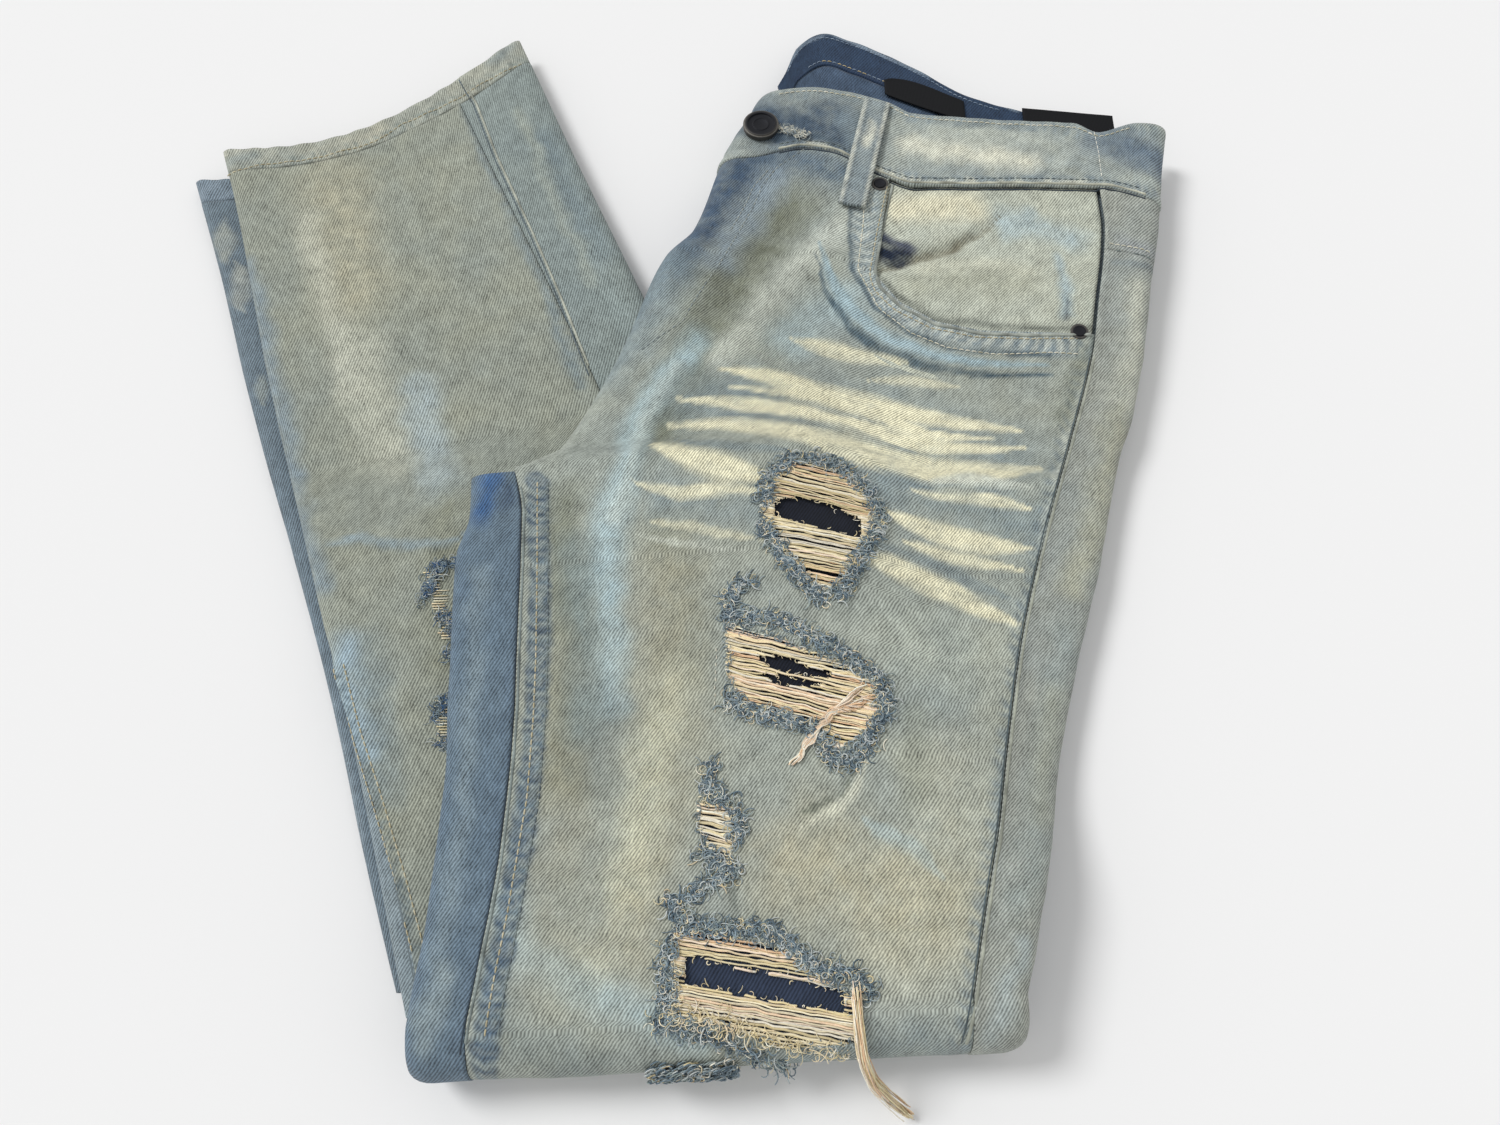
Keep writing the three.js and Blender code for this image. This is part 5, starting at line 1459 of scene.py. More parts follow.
# ---- The layers between -----------------------------------------------------------------------
@dataclass
class InnerLayers:
    """What the folds hide: the right leg's upper half under the left one, the tubes of both lower
    legs and the inside of the bend. Its edges show between the outer layers."""

    form: FoldedForm
    waist_end: float = -0.2
    past_bend: float = 2.1
    shy: float = 2.0
    sunk: float = 5.0
    inset: float = 3.0
    bend_heart: float = 3.0

    def stack_ring(self, v: float) -> np.ndarray:
        """The section of both upper legs on row v."""
        form, shy = self.form, self.shy
        v = np.array(v)
        y = form.row_y(60.0, v)
        half = form.half_stack(y)
        above = 1 - smooth((v - form.crotch_v + 0.01) / 0.03)
        fold = form.crossing(form.centre_front, v) + shy
        left = form.crossing(form.leg_edge, v) + shy
        right = form.crossing(form.outer_edge, v) - shy
        base = -np.minimum(2 * half, np.where(v > 1, form.bend_radius - self.bend_heart, np.inf)) + 0.1
        arc = np.radians(np.linspace(84, -84, 11))
        reach = form.edge * (1 - np.cos(arc))
        upper_h = -half / 2 + (half / 2 - shy) * np.sin(arc)
        lower_h = -1.5 * half + (half / 2 - 0.3) * np.sin(arc)
        start = mix(left + form.edge, fold + form.fly_edge, above)
        top = np.linspace(start, right - form.edge, 40)
        side_x = np.concatenate([right - reach, [right - form.edge], right - self.inset - reach])
        side_h = np.concatenate([upper_h, [-half], np.maximum(lower_h, base)])
        bottom = np.linspace(right - form.edge - self.inset, start + self.inset, 40)
        left_x = np.concatenate([left + self.inset + reach[::-1], [left + form.edge], left + reach[::-1]])
        left_h = np.concatenate([np.maximum(lower_h[::-1], base), [-half], upper_h[::-1]])
        turn = np.radians(np.linspace(-84, 84, len(left_x)))
        full_x = fold + form.fly_edge * (1 - np.cos(turn))
        full_h = -half + (half - shy) * np.sin(turn)
        x = np.concatenate([top, side_x, bottom, mix(left_x, full_x, above)])
        h = np.concatenate([np.full(40, -self.sunk), np.minimum(side_h, -self.sunk * 0.8), np.full(40,
                                                                                                   float(base)),
                            np.minimum(mix(left_h, full_h, above), -self.sunk * 0.8)])
        points = form.upper(v, x, h)
        if v <= 1:
            floor = 2 * form.leg * form.over_lower_legs(points[:, 0], points[:, 1]) + 0.1
            points[:, 2] = np.maximum(points[:, 2], floor)
        return points

    def tube_rings(self, edges: tuple[Edge, Edge], top: Callable, half: Callable, start: float, end: float,
                   ) -> np.ndarray:
        """Rings of one lower leg, just inside its cloth."""
        form, rings = self.form, []
        for t in np.linspace(start, end, 70):
            width = form.leg_width(*edges, t)
            b = half(t)
            arc = np.radians(np.linspace(84, -84, 11))
            side = self.shy + (form.edge - self.shy) * (1 - np.cos(arc))
            flat = np.linspace(0, 1, 30)
            d = np.concatenate([mix(form.edge, width - form.edge, flat), width - side,
                                mix(width - form.edge, form.edge, flat), side[::-1]])
            low = b - 1.3 * self.shy
            h = np.concatenate([np.full(30, low), low * np.sin(arc), np.full(30, -b + 0.3),
                                low * np.sin(arc[::-1])])
            rings.append(form.lower(*edges, top, np.array(t), d, h - b))
        return np.array(rings)

    def build(self) -> list:
        """The three bodies of cloth: upper stack, right tube and left tube."""
        form = self.form
        rows = np.concatenate([np.linspace(self.waist_end, 1, 120), np.linspace(1, self.past_bend, 46)[1:]])
        wash = Wash("#7C8A93", "#8F9A9A", (Mark("#5E6F80", 0.5, 10, [(-80, -30), (-84, -240)]),
                                           Mark("#9AA29C", 0.5, 14, [(250, 120), (210, -30), (160, -200)])),
                                           20, 0.7, 51)
        stack = tube_ring("upper_stack", np.array([self.stack_ring(v) for v in rows]), wash.paint,
                          closed=False)
        start = (form.hem + form.seam_gap) / form.right_length
        right = tube_ring("right_tube", self.tube_rings((form.right_left, form.right_right), form.right_top,
                                                        form.right_half, start, 0.993), wash.paint,
                                                        closed=False)
        left = tube_ring("left_tube", self.tube_rings((form.left_left, form.left_right), form.left_top,
                                                      form.left_half, start, 0.997), wash.paint, closed=False)
        return [stack, right, left]


# ---- Threads ----------------------------------------------------------------------------------
def resampled(route: Points, step: float) -> np.ndarray:
    """Points along a route in plan, `step` millimetres apart."""
    p = np.array(route, float)
    along = np.concatenate([[0], np.cumsum(np.hypot(*np.diff(p, axis=0).T))])
    s = np.arange(0, along[-1], step)
    return np.stack([np.interp(s, along, p[:, 0]), np.interp(s, along, p[:, 1])], 1)


@dataclass
class Threadwork:
    """Stitches, seam cords, weft threads across the rips, and frayed ends."""

    form: FoldedForm
    leg: LeftLegUpper
    drop: Drop
    seed: int = 7
    weft_step: float = 0.75
    weft_radius: float = 0.42
    mat_ends: float = 6.0
    stitch_pitch: float = 3.2
    stitch_length: float = 2.3
    curl: tuple[float, float] = (0.8, 5.2)
    rng: np.random.Generator = field(init=False)

    def __post_init__(self) -> None:
        """Starts the seeded random draws."""
        self.rng = np.random.default_rng(self.seed)

    def top(self, x: Numbers, y: Numbers) -> np.ndarray:
        """Height of the front panel's skin, as if it had no holes."""
        return self.form.skin(x, y) + self.leg.relief(np.asarray(x, float), np.asarray(y, float))

    def pick(self, colours: Sequence[str], swing: float = 0.16) -> np.ndarray:
        """A colour from a few, a little lighter or darker."""
        return linear(colours[self.rng.integers(len(colours))]) * self.rng.uniform(1 - swing, 1 + swing)

    def weft(self, rip: Rip, threads: Strands) -> None:
        """The weft threads left across a rip, broken where it is open."""
        xs = [p[0] for p in rip.outline]
        ys = [p[1] for p in rip.outline]
        reach = max(xs) - min(xs)
        x = np.arange(min(xs) - 3, max(xs) + 3, 1.3)
        start = min(ys) - abs(rip.slope) * reach - 4
        for y0 in np.arange(start, max(ys) + abs(rip.slope) * reach + 4, self.weft_step):
            if self.rng.random() < rip.bare_share:
                continue
            sag = self.rng.uniform(-0.9, 0.9)
            share = (x - x[0]) / reach
            y = y0 + rip.slope * (x - x[0]) + sag * np.sin(math.pi * share)
            y = y + 0.45 * cloud(x, 0 * x + y0, 7, 200) + 0.35 * cloud(x, 0 * x + y0 * 5, 3.5, 201)
            wide = inside(rip.outline, x, y)
            wide = wide | np.roll(wide, 1) | np.roll(wide, -1)
            for hole in rip.openings:
                wide &= ~inside(hole, x, y + 0.8 * cloud(x, y, 5, 202))
            lift = self.rng.uniform(-0.6, 0.1) + 0.3 * cloud(x, y * 4, 5, 203)
            z = self.top(x, y) + lift
            runs = np.flatnonzero(np.diff(np.concatenate([[0], wide.astype(int), [0]])))
            radius = self.weft_radius * self.rng.uniform(0.75, 1.25)
            colour = self.pick(PEACH if self.rng.random() < 0.16 else WEFT)
            for a, b in zip(runs[::2], runs[1::2]):
                if b - a >= 3:
                    threads.add(np.stack([x[a:b], y[a:b], z[a:b]], 1), radius, colour)

    def tuft(self, x: float, y: float, z: float, heading: float, length: float, curl: float, rise: float,
             radius: float, colour: np.ndarray, threads: Strands) -> None:
        """One loose curled end.

        Args:
            x: where it starts.
            y: where it starts.
            z: height of the cloth there.
            heading: the way it sets off, in radians.
            length: its length.
            curl: how far it turns, in radians.
            rise: how far it stands up.
            radius: its radius.
            colour: its linear colour.
            threads: where it is added.
        """
        s = np.linspace(0, 1, 7)
        way = heading + curl * s
        steps = np.stack([np.cos(way), np.sin(way)], 1) * length / 7
        plan = np.array([x, y]) + np.cumsum(steps, 0) - steps[0]
        height = z + rise * np.sin(math.pi * (0.08 + 0.8 * s))
        threads.add(np.column_stack([plan, height]), radius * (1 - 0.4 * s), colour)

    def fray(self, route: Points, per_mm: float, spread: float, heading: float, colours: Sequence[str],
             length: tuple[float, float], threads: Strands, height: Callable, radius: float = 0.24,
             wander: float = 0.9) -> None:
        """Loose ends thrown along a route.

        Args:
            route: where, in plan.
            per_mm: ends to the millimetre.
            spread: how far they start to either side.
            heading: the way most of them point, in radians.
            colours: their colours.
            length: shortest and longest.
            threads: where they are added.
            height: height of the cloth at a place.
            radius: their radius.
            wander: how far they turn from the heading.
        """
        places = resampled(route, 1 / per_mm)
        places = places + self.rng.normal(0, spread, places.shape)
        for (x, y), z in zip(places, height(*places.T)):
            way = heading + self.rng.normal(0, wander) + (math.pi if self.rng.random() < 0.4 else 0)
            curl = self.rng.choice((-1, 1)) * self.rng.uniform(*self.curl)
            self.tuft(x, y, float(z) + self.rng.uniform(0, 0.5), way, self.rng.uniform(*length), curl,
                      self.rng.uniform(0.1, 0.9), radius * self.rng.uniform(0.7, 1.3), self.pick(colours),
                      threads)

    def rips(self) -> dict[str, Strands]:
        """The weft and the fray of the rips in the left leg, by piece name."""
        weft = Strands()
        pieces = {"rip_weft_threads": weft}
        for number, rip in enumerate(RIPS, 1):
            fray = pieces[f"rip_{number}_frayed_ends"] = Strands(sides=3)
            LOG.info("fraying the %s rip", rip.name)
            self.weft(rip, weft)
            self.fray([*rip.outline, rip.outline[0]], 1.4, 0.7, math.pi / 2, FRAY_BLUE + WEFT[:2], (2, 4.5),
                      fray, self.top)
            for mat in rip.mats:
                self.fray(mat, self.mat_ends, 1.5, math.pi / 2, FRAY_BLUE, (4, 8), fray, self.top, 0.34)
                self.fray(mat, 1.0, 1.6, 0.1, WEFT, (3, 7), fray, self.top)
            for hole in rip.openings:
                self.fray([*hole, hole[0]], 0.35, 0.5, 0.2, WEFT, (2, 4), fray,
                          lambda x, y: self.top(x, y) - 1.0)
        loose = pieces["loose_thread_knots"] = Strands(sides=3)
        self.bundle([(88, -122), (80, -130), (72, -137), (67, -143), (62, -150), (56, -158)], 46, loose)
        self.bundle([(92, -128), (84, -131), (75, -133), (70, -139)], 16, loose)
        self.fray([(8, -251), (32, -256), (52, -262), (78, -266)], 2.5, 1.5, 0.0, WEFT, (4, 10), loose,
                  self.top)
        for y in np.arange(-134, -106, 3.4):
            x = 25 + self.rng.normal(0, 0.3)
            self.tuft(x, y, float(self.top(x, y)) + 0.15, math.pi / 2, 1.6, 0.1, 0.2, 0.3,
                      linear("#E9E4D2"), loose)
        return pieces

    def bundle(self, route: Points, count: int, threads: Strands) -> None:
        """A twisted bundle of loose weft, lying along a route on the panel.

        Args:
            route: where it lies, in plan.
            count: how many strands it has.
            threads: where they are added.
        """
        line = resampled(route, 1.2)
        along = np.linspace(0, math.tau, len(line))
        for _ in range(count):
            first, last = self.rng.integers(0, len(line) // 3), self.rng.integers(2 * len(line) // 3,
                                                                                  len(line))
            turn, reach = self.rng.uniform(0, math.tau), self.rng.uniform(0.2, 1.7)
            x = line[:, 0] + reach * np.cos(1.5 * along + turn) + 1.1 * cloud(line[:, 0], line[:, 1] + turn,
                                                                              4, 215)
            y = line[:, 1] + reach * np.sin(1.5 * along + turn) + 1.1 * cloud(line[:, 0] + turn, line[:, 1],
                                                                              4, 216)
            z = self.top(x, y) + 0.7 + 0.5 * reach * np.sin(2 * along + turn)
            threads.add(np.column_stack([x, y, z])[first:last], 0.34, self.pick(PEACH + WEFT[2:3]))

    def right_leg_rips(self) -> Strands:
        """The two small rips in the right leg: ladders of weft and tufts of fray."""
        threads = Strands(sides=3)
        for x0, y0, x1, y1 in ((-108, -60, -97, -93), (-97, -122, -91, -142)):
            for y in np.arange(y1, y0, 1.3):
                x = mix(x0, x1, (y - y0) / (y1 - y0)) + self.rng.normal(0, 0.8)
                self.tuft(x - 3, y, self.drop.height(x, y, 18) + 0.2, -0.1, self.rng.uniform(6, 11), 0.2, 0.5,
                          0.34, self.pick(WEFT), threads)
        for route in ([(-110, -74), (-106, -58), (-96, -56)], [(-102, -80), (-93, -93)], [(-96, -99), (-95,
                                                                                                       -103)],
                      [(-98, -131), (-97, -123), (-91, -122)], [(-95, -141), (-90, -142)]):
            self.fray(route, 9, 1.4, 1.2, (*FRAY_BLUE, "#41628A", "#4C6E92"), (3, 6.5), threads,
                      lambda x, y: self.drop.heights(x, y, 18) + 0.2)
        return threads

    def knee(self) -> tuple[Strands, Strands]:
        """The fringe that hangs round the bend, and the loose bundle beside it."""
        fringe, tassel = Strands(sides=3), Strands(sides=3)
        for _ in range(620):
            x, lift = self.rng.uniform(2, 34), self.rng.uniform(0.4, 4.4)
            v0, turn = self.rng.uniform(1.34, 1.62), self.rng.uniform(0, math.tau)
            s = turn + self.rng.choice((-1, 1)) * np.linspace(0, self.rng.uniform(2, 5), 9)
            path = self.form.upper(v0 + 0.035 * np.sin(s), x + 2.2 * np.cos(s), lift + 0.4 * np.sin(2 * s))
            fringe.add(path, 0.3, self.pick(WEFT if self.rng.random() < 0.12 else FRAY_BLUE))
        way = np.array([[80, -243, 42.5], [81, -256, 41.5], [83, -268, 35.5], [87, -276, 27], [93, -281, 16],
                        [100, -286, 5.5], [105, -289, 3]], float)
        s = np.linspace(0, 6, 34)
        line = np.stack([np.interp(s, range(7), way[:, k]) for k in range(3)], 1)
        for k in range(3):
            line[1:-1, k] = (line[:-2, k] + 2 * line[1:-1, k] + line[2:, k]) / 4
        for _ in range(110):
            first, last = self.rng.integers(0, 8), self.rng.integers(20, 34)
            offset = self.rng.normal(0, 0.95, 3) * np.array([1, 1, 0.6])
            wave = self.rng.normal(0, 0.5, 3) * np.sin(s[:, None] * 1.5 + self.rng.uniform(0, 6))
            path = line + offset + wave
            path[:, 2] = np.maximum(path[:, 2], 0.6)
            path[:, 1] = np.maximum(path[:, 1], -290)
            tassel.add(path[first:last], 0.26, self.pick(WEFT + PEACH))
        return fringe, tassel

    def stitch(self, route: Points, threads: Strands, colours: Sequence[str], radius: float = 0.34,
               lift: float = 0.15) -> None:
        """A row of stitches along a route, laid on the cloth.

        Args:
            route: where, in plan.
            threads: where the stitches are added.
            colours: the thread's colours.
            radius: its radius.
            lift: how far it stands above the cloth.
        """
        p = resampled(route, self.stitch_pitch)
        for a, b in zip(p, p[1:]):
            way = (b - a) / np.hypot(*(b - a)) * self.stitch_length / 2
            middle = (a + b) / 2
            x = middle[0] + way[0] * np.array([-1, -0.4, 0.4, 1])
            y = middle[1] + way[1] * np.array([-1, -0.4, 0.4, 1])
            ground = self.drop.height(middle[0], middle[1], -1)
            if ground < 0:
                continue
            ends = [self.drop.height(x[0], y[0], ground), self.drop.height(x[3], y[3], ground)]
            ends = [h if abs(h - ground) < 2 else ground for h in ends]
            z = np.interp([0, 1, 2, 3], [0, 3], ends) + lift + np.array([-0.3, 0.12, 0.12, -0.3])
            threads.add(np.stack([x, y, z], 1), radius, self.pick(colours, 0.1))

    def cord(self, route: Points, threads: Strands, colour: str, radius: float, lift: float = 0.0) -> None:
        """A continuous ridge of cloth along a seam, or a thin dark strand in a seam's gap that is painted shade."""
        p = resampled(route, 2.0)
        z = np.array([self.drop.height(x, y, np.nan) for x, y in p])
        good = np.isfinite(z)
        if good.sum() < 4:
            return
        p, z = p[good], z[good] + lift
        jumps = np.flatnonzero(np.abs(np.diff(z)) > 2.5)
        for part in np.split(np.arange(len(p)), jumps + 1):
            if len(part) > 3:
                x, y = p[part].T
                dark = (0.78 + 0.3 * cloud(x, y, 5, 211) + 0.12 * cloud(x, y, 2, 212))[:, None]
                threads.add(np.column_stack([x, y, z[part]]), radius * (1 + 0.3 * cloud(x, y, 3, 210)),
                            linear(colour) * dark)

    def seams(self) -> tuple[Strands, Strands]:
        """All the topstitching, the ridges beside it, and thin dark strands of painted shade in the seams' gaps."""
        form, stitches, cords = self.form, Strands(), Strands(sides=5)
        pale, tan, dark = ("#D9D6C3", "#C6C2AA", "#E6E2D0"), ("#B9AF90", "#C9C0A4"), ("#5B666C", "#75807F")
        down = np.arange(-268, 60, 6.0)
        outseam = [(float(form.outseam(y)), float(y)) for y in down]
        self.cord([(x + 1.2, y) for x, y in outseam], cords, "#A4A89B", 0.7)
        # A thin dark strand: painted shade in the outseam's gap.
        self.cord([(x - 0.9, y) for x, y in outseam], cords, "#59666B", 0.32, 0.1)
        inseam = [(-58, -24), (-55, -63), (-52, -110), (-51, -137), (-51, -170), (-53, -193), (-55, -216),
                  (-58, -239), (-60, -262)]
        self.stitch(inseam, stitches, tan)
        self.stitch([(x + 5, y) for x, y in inseam], stitches, dark)
        edge = [(float(form.inseam(y)) + 1.2, float(y)) for y in np.arange(-266, -20, 6.0)]
        self.cord(edge, cords, "#8E9996", 0.6)
        # A thin dark strand: painted shade in the inseam's gap.
        self.cord([(x - 1.6, y) for x, y in edge], cords, "#3E4B58", 0.35, 0.1)
        fly = [(70, 189), (55, 176), (47, 164), (42, 148), (35, 129), (24, 100), (13, 76), (7, 62), (-1,
                                                                                                     56),
                                                                                                     (-15,
                                                                                                      44)]
        self.stitch(fly, stitches, ("#8C9698", "#A4ABA6"), 0.26)
        self.stitch([(x - 5, y - 2) for x, y in fly[1:5]], stitches, ("#A9AFAA",), 0.24)
        inner, outer = POCKET_EDGE, [(102, 166), (100, 138), (96, 108), (106, 84), (122, 69), (139, 61),
                                     (164, 57),
                                     (190, 58), (208, 57)]
        self.stitch([(x - 4, y - 3) for x, y in inner], stitches, tan)
        self.stitch(outer, stitches, pale)
        self.cord([(x - 1, y - 1) for x, y in inner], cords, "#A9AFA6", 0.9)
        for dy, colours in ((-2, pale), (-6, dark)):
            self.stitch([(228, 126 + dy), (240, 124 + dy), (251, 121 + dy)], stitches, colours)
        x = np.arange(56, 256, 4.0)
        top = [(float(a), float(form.band_top(a)) - 3) for a in x]
        low = [(float(a), float(form.band_seam(a)) + 3.4) for a in x]
        self.stitch(top, stitches, pale)
        self.stitch([(a, b + 1) for a, b in low], stitches, dark)
        self.cord([(a, b - 2.2) for a, b in low], cords, "#C8C9B8", 0.7)
        # A thin dark strand: painted shade under the band's lower edge.
        self.cord([(a, b - 4.6) for a, b in low], cords, "#39444E", 0.45)
        self.stitch([(229.5, 204), (230.5, 186), (230, 168)], stitches, ("#EFEDE2",), 0.22)
        hem = [(-251, 182), (-232, 188), (-205, 192), (-172, 204), (-157, 218), (-129, 236), (-113, 251),
               (-91, 267)]
        self.stitch(hem, stitches, tan)
        out = [(-129, 256), (-117, 234), (-101, 193), (-78, 142), (-58, 95), (-39, 47)]
        self.cord(out, cords, "#BCBFB1", 0.65)
        # A thin dark strand: painted shade in the lower outseam's gap.
        self.cord([(x - 1.6, y - 0.8) for x, y in out], cords, "#66737A", 0.35)
        lower = [(-147, -107), (-134, -140), (-120, -171), (-107, -201), (-96, -229)]
        self.stitch(lower, stitches, tan)
        self.stitch([(x + 4.5, y + 2) for x, y in lower], stitches, tan)
        back = [(float(a), float(form.back_top(a)) - 3) for a in np.arange(62, 190, 4.0)]
        self.stitch(back, stitches, ("#93A3B4", "#7D8FA4"), 0.28)
        self.stitch([(a, b - 19) for a, b in back[3:]], stitches, ("#C9B98E", "#93A3B4"), 0.28)
        return stitches, cords

    def buttonhole(self) -> Strands:
        """The frayed buttonhole that shows beside the button."""
        threads = Strands(sides=3)
        ground = float(self.form.skin(60, 204)) + 1.2
        self.fray([(56, 203), (64, 200), (72, 197)], 9, 1.2, 1.2, ("#D8D6C8", "#B9BDB6", "#8F9A9E"), (2.5, 5),
                  threads, lambda x, y: ground + 0 * x, 0.26)
        return threads


# ---- Trims ------------------------------------------------------------------------------------
@dataclass
class Trims:
    """Button, rivets, belt loop and labels."""

    form: FoldedForm
    button_at: tuple[float, float] = (46, 203)
    button_radius: float = 10.0
    rivet_radius: float = 4.5
    loop_width: float = 15.0

    def turned(self, name: str, x: float, y: float, z: float, radius: float,
               rings: Sequence[tuple[float, float]],
               height: float) -> bpy.types.Object:
        """A round metal piece: a disc, its face inset and raised ring by ring.

        Args:
            name: the piece's name.
            x: its middle.
            y: its middle.
            z: height of its underside.
            radius: its radius.
            rings: for each ring, how far in and how far up its face goes.
            height: thickness of the disc that it starts from.

        Returns:
            The piece, at the origin.
        """
        deselect()
        bpy.ops.mesh.primitive_cylinder_add(vertices=56, radius=radius * MM, depth=height * MM,
                                            location=(x * MM, y * MM, (z + height / 2) * MM))
        obj = bpy.context.active_object
        obj.name = name
        bpy.ops.object.transform_apply(location=True, rotation=True, scale=True)
        bpy.ops.object.mode_set(mode="EDIT")
        bpy.ops.mesh.select_all(action="DESELECT")
        bpy.ops.object.mode_set(mode="OBJECT")
        for face in obj.data.polygons:
            face.select = face.normal.z > 0.9
        bpy.ops.object.mode_set(mode="EDIT")
        bpy.ops.mesh.select_mode(type="FACE")
        for inward, up in rings:
            bpy.ops.mesh.inset(thickness=inward * MM, depth=0)
            if up:
                bpy.ops.mesh.extrude_region_move(TRANSFORM_OT_translate={"value": (0, 0, up * MM)})
        bpy.ops.object.mode_set(mode="OBJECT")
        bevel = obj.modifiers.new("rounded", "BEVEL")
        bevel.width = 0.25 * MM
        bevel.segments = 2
        bpy.ops.object.modifier_apply(modifier=bevel.name)
        bpy.ops.object.shade_smooth_by_angle(angle=math.radians(40))
        obj.select_set(False)
        rubbed = obj.data.attributes.new("rubbed", "FLOAT", "POINT")
        for corner, share in zip(obj.data.vertices, rubbed.data):
            away = math.hypot(corner.co.x - x * MM, corner.co.y - y * MM) / MM
            share.value = math.exp(-(((radius - 0.5 - away) / 0.45) ** 2))
        return obj

    def button(self) -> bpy.types.Object:
        """The waist button: a stem under a dished head with a raised rim."""
        x, y = self.button_at
        z = float(self.form.upper_top(x, y)) + 1.5
        return self.turned("waist_button_metal", x, y, z + 0.2, self.button_radius - 0.2,
                           ((0.9, 0.6), (1.1, 0), (0.5, -0.8), (2.4, 0), (0.4, 0.3), (0.6, -0.3)), 2.6)

    def rivet(self, name: str, x: float, y: float, drop: Drop) -> bpy.types.Object:
        """A pocket rivet: a flange and a low nipple."""
        around = np.linspace(0, math.tau, 12)
        r = self.rivet_radius * 0.9
        z = drop.heights(x + r * np.cos(around), y + r * np.sin(around),
                         float(self.form.upper_top(x, y))).max()
        return self.turned(name, x, y, float(z) - 0.3, self.rivet_radius, ((0.9, 0), (0.5, 0.6), (0.8,
                                                                                                  -0.2)), 0.7)

    def belt_loop(self) -> bpy.types.Object:
        """The belt loop: a folded strip, thicker along its stitched edges."""
        top, foot = np.array([111.0, 221.0]), np.array([94.0, 147.0])
        side = (foot - top) / np.linalg.norm(foot - top)
        across = np.array([-side[1], side[0]])
        s, k = np.linspace(0, 1, 66)[:, None], np.linspace(-0.5, 0.5, 16)[None, :]
        plan = top + (foot - top) * s[..., None] + across * (k * self.loop_width)[..., None]
        x, y = plan[..., 0], plan[..., 1]
        rise = 0.5 * np.exp(-(((np.abs(k) - 0.36) / 0.09) ** 2)) - 0.25 * np.exp(-((k / 0.1) ** 2))
        rise = rise + 0.25 * cloud(x, y, 6,
                                   120) + 0.9 * smooth((s - 0.87) / 0.05) - 0.5 * (np.abs(s - 0.85) < 0.02)
        z = self.form.upper_top(x, y) + 3.2 + 0.9 * np.sin(math.pi * s) + rise * (1 - 0.5 * (np.abs(k) > 0.45))
        grid = np.stack([x, y, z], -1)
        pale = 0.7 * np.exp(-(((np.abs(k) - 0.42) / 0.09) ** 2)) + 0 * s
        colour = Wash("#7F8B90", "#9AA29E", (Mark("#CFCFBE", 0.7, 5, [(108, 206), (104, 190)]),
                                             Mark("#7E8A8E", 0.6, 5, [(100, 170), (96, 156)])), 8, 0.7,
                                             61).paint(x, y)
        colour = mix(colour, linear("#C9C9BA"), pale[..., None] * (0.8 + 0.4 * cloud(x, y, 3, 121))[...,
                                                                                                    None])
        groove = np.exp(-(((np.abs(k) - 0.27) / 0.05) ** 2)) * (0.6 + 0.4 * np.sin(s * 74 / 0.51))
        colour = mix(colour, linear("#4E5A62"), np.clip(0.75 * groove, 0, 1)[..., None])
        return wall("belt_loop_cloth", grid, colour, inward=1.9)

    def label(self, name: str, x0: float, x1: float, low: Callable, high: Callable) -> bpy.types.Object:
        """A bare woven label, its long edges turned under."""
        x = np.linspace(x0, x1, 34)[None, :]
        s = np.linspace(0, 1, 16)[:, None]
        y = mix(high(x), low(x), s)
        edge = 0.28 * np.exp(-((np.minimum(s, 1 - s) / 0.07) ** 2))
        grid = np.stack([x + 0 * y, y, 14.75 + edge + 0.12 * cloud(x + 0 * y, y, 9, 125)], -1)
        return wall(name, grid, np.full((*grid.shape[:2], 3), 0.01), inward=0.7)

    def labels(self) -> tuple:
        """The size label and the waist label."""
        size = self.label("size_label_tape", 118, 163,
                          Through([(118, 243), (122, 240.5), (160, 223), (163, 222)]),
                          Through([(118, 253.5), (122, 254.5), (127, 254), (160, 238.5), (163, 236.5)]))
        waist = self.label("waist_label_tape", 196, 247, Through([(196, 212), (247, 206)]),
                           Through([(196, 231.5), (247, 225.5)]))
        return size, waist


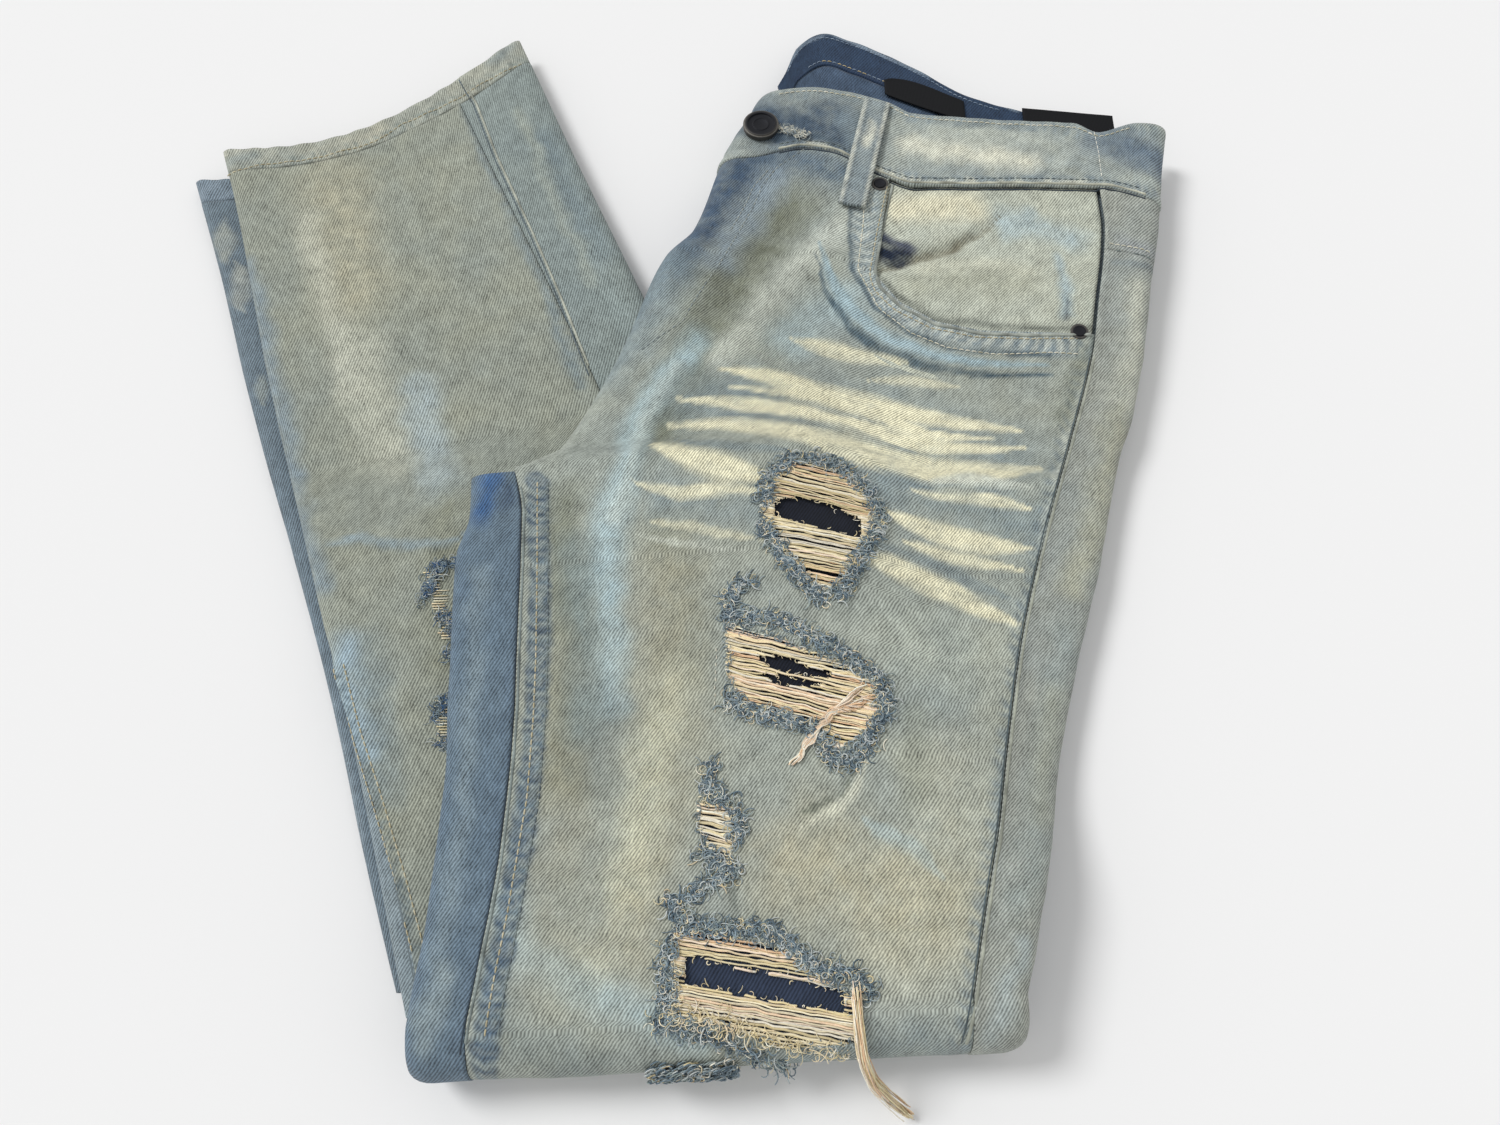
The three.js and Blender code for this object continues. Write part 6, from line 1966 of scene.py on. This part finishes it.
# ---- Studio -----------------------------------------------------------------------------------
@dataclass
class Studio:
    """Pale floor, wide soft light from the left, and the camera."""

    place: tuple[float, float, float] = (0.040, -0.2694, 0.4993)
    tilt_deg: float = 24.0
    lens: float = 27.05
    floor_colour: str = "#EEEEEE"
    floor_half: float = 9000.0
    floor_level: float = -0.2
    world: float = 0.62
    sun: float = 1.75

    def camera(self) -> None:
        """The camera."""
        data = bpy.data.cameras.new("camera")
        data.sensor_width = 36
        data.lens = self.lens
        data.clip_start = 0.02
        obj = bpy.data.objects.new("camera", data)
        obj.location = self.place
        obj.rotation_euler = (math.radians(self.tilt_deg), 0, 0)
        bpy.context.scene.collection.objects.link(obj)
        bpy.context.scene.camera = obj

    def light(self) -> None:
        """A white sky and one broad sun."""
        world = bpy.data.worlds.new("sky")
        world.use_nodes = True
        world.node_tree.nodes["Background"].inputs[0].default_value = (1, 1, 1, 1)
        world.node_tree.nodes["Background"].inputs[1].default_value = self.world
        bpy.context.scene.world = world
        data = bpy.data.lights.new("window", "SUN")
        data.energy = self.sun
        data.angle = math.radians(20)
        obj = bpy.data.objects.new("window", data)
        obj.rotation_euler = (math.radians(-16), math.radians(-38), 0)
        bpy.context.scene.collection.objects.link(obj)

    def floor(self) -> None:
        """The floor."""
        n = Nodes("matt_white_card")
        n.shader.inputs["Base Color"].default_value = (*linear(self.floor_colour), 1)
        n.shader.inputs["Roughness"].default_value = 0.95
        half, level = self.floor_half, self.floor_level
        points = np.array([[-half, -half, level], [half, -half, level], [half, half, level], [-half, half,
                                                                                              level]])
        obj = make_object("floor", points, np.array([[0, 1, 2, 3]]), lowest=level)
        obj.data.materials.append(n.material)

    def build(self) -> None:
        """The whole studio."""
        self.camera()
        self.light()
        self.floor()
        bpy.context.scene.view_settings.view_transform = "Standard"


# ---- Putting it together ----------------------------------------------------------------------
SLOTS = {
    "washed_denim": ("left_front_panel", "left_front_waistband", "front_pocket_facing",
                     "right_front_panel_lower",
                     "right_front_waistband", "right_hem", "belt_loop"),
    "blue_denim": ("left_back_panel_inseam_side", "left_back_yoke", "left_back_panel_outseam_side",
                   "right_back_panel_lower", "left_back_panel_lower", "left_hem", "hidden_layers"),
    "inside_denim": ("left_back_waistband", "left_back_panel_inside", "right_back_waistband"),
    "patch_denim": ("rip_backing_thigh", "rip_backing_knee"),
    "aged_metal": ("waist_button", "pocket_rivet_upper", "pocket_rivet_lower"),
    "black_tape": ("size_label", "waist_label"),
    "cotton_thread": ("knee_fringe", "knee_tassel"),
}


RIVETS = {"pocket_rivet_upper": (110, 164), "pocket_rivet_lower": (207, 70)}


@dataclass(frozen=True)
class Cut:
    """What a cloth was cut to, in metres and square metres, how it is held, and what it lies on."""

    width: float
    length: float
    area: float | None
    held: str
    rests_on: tuple[str, ...]

    def declare(self, piece: bpy.types.Object) -> None:
        """Takes the piece and does nothing with it."""


CUTS = {
    "left_front_panel": Cut(0.276, 0.489, 0.091, "folded", ("upper_stack",)),
    "left_back_panel_inseam_side": Cut(0.040, 0.287, 0.0096, "folded", ("upper_stack",)),
    "left_back_yoke": Cut(0.047, 0.039, 0.0016, "folded", ("upper_stack",)),
    "left_back_panel_outseam_side": Cut(0.043, 0.431, 0.0143, "folded", ("upper_stack",)),
    "left_back_panel_inside": Cut(0.168, 0.051, 0.0054, "laid", ("upper_stack",)),
    "left_back_panel_lower": Cut(0.049, 0.443, 0.0200, "folded", ("left_tube",)),
    "right_front_panel_lower": Cut(0.166, 0.464, 0.0480, "folded", ("right_tube",)),
    "right_back_panel_lower": Cut(0.060, 0.262, 0.0132, "folded", ("right_tube",)),
    "left_front_waistband": Cut(0.282, 0.051, 0.0134, "folded", ("left_front_panel",)),
    "left_back_waistband": Cut(0.237, 0.025, 0.0054, "laid", ("left_back_panel_inside",)),
    "right_back_waistband": Cut(0.237, 0.049, 0.0097, "laid", ("right_front_waistband",)),
    "right_front_waistband": Cut(0.235, 0.021, None, "laid", ("upper_stack",)),
    "front_pocket_facing": Cut(0.154, 0.147, 0.0200, "laid", ("upper_stack",)),
    "rip_backing_thigh": Cut(0.084, 0.158, None, "laid", ("upper_stack",)),
    "rip_backing_knee": Cut(0.088, 0.109, None, "laid", ("upper_stack",)),
    "right_hem": Cut(0.383, 0.0175, None, "folded", ("right_tube",)),
    "left_hem": Cut(0.376, 0.0175, None, "folded", ("left_tube",)),
    "belt_loop": Cut(0.016, 0.076, None, "laid", ("left_front_waistband",)),
    "size_label": Cut(0.048, 0.0165, None, "laid", ("left_back_waistband",)),
    "waist_label": Cut(0.051, 0.020, None, "laid", ("left_back_waistband",)),
}


def slot_of(node: str) -> str:
    """The record's material slot of a node."""
    return next(slot for slot, nodes in SLOTS.items() if node in nodes)


def dress(obj: bpy.types.Object, material: bpy.types.Material, slot: str, *nodes: str) -> None:
    """Gives a piece its material and its place in the model."""
    obj.data.materials.append(material)
    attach(obj, "root")
    if nodes:
        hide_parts(*nodes)
        if nodes[0] in CUTS:
            CUTS[nodes[0]].declare(obj)
    LOG.info("%s: %d faces", obj.name, len(obj.data.polygons))


def main() -> None:
    """Builds the jeans round the frame."""
    logging.basicConfig(level=logging.INFO, format="%(name)s: %(message)s")
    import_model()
    deselect()
    Studio().build()
    form = FoldedForm()
    leg = LeftLegUpper(form)
    cloth = {**leg.build(), **Waistbands(form).build(), **LowerLegs(form).build()}
    finishes = {slot: Denim(name).build() for slot, name in (
        ("washed_denim", "stone_washed_cotton_twill"), ("blue_denim", "washed_blue_cotton_twill"))}
    finishes["inside_denim"] = Denim("unwashed_inside_twill", twill=0.3).build()
    finishes["patch_denim"] = Denim("dark_patch_twill", twill_mm=1.3, twill=0.5, lint=0.4, slub=0.4).build()
    inner = InnerLayers(form).build()
    for node, piece in cloth.items():
        slot = slot_of(node)
        piece.name = f"{node}_cloth"
        dress(piece, finishes[slot], slot, node)
    for piece in inner:
        dress(piece, finishes["blue_denim"], "blue_denim", "hidden_layers")
    drop = Drop([*cloth.values(), *inner])
    work, trims = Threadwork(form, leg, drop), Trims(form)
    yarn = Yarn("loose_cotton_yarn").build()
    rips = work.rips()
    stitches, cords = work.seams()
    fringe, tassel = work.knee()
    for name, strands, nodes in (*((name, strands, ()) for name, strands in rips.items()),
                                 ("right_leg_rip_threads", work.right_leg_rips(), ()),
                                 ("knee_fringe_threads", fringe, ("knee_fringe",)),
                                 ("knee_tassel_threads", tassel, ("knee_tassel",)),
                                 ("topstitching", stitches, ()), ("seam_ridges_and_shade_lines", cords, ()),
                                 ("buttonhole_fray", work.buttonhole(), ())):
        dress(strands.build(name), yarn, "cotton_thread", *nodes)
    dress(trims.belt_loop(), finishes["washed_denim"], "washed_denim", "belt_loop")
    metal, tape = AgedBrass().build(), Tape().build()
    dress(trims.button(), metal, "aged_metal", "waist_button")
    for node, (x, y) in RIVETS.items():
        dress(trims.rivet(f"{node}_metal", x, y, drop), metal, "aged_metal", node)
    for piece, node in zip(trims.labels(), ("size_label", "waist_label")):
        dress(piece, tape, "black_tape", node)


if __name__ == "__main__":
    main()
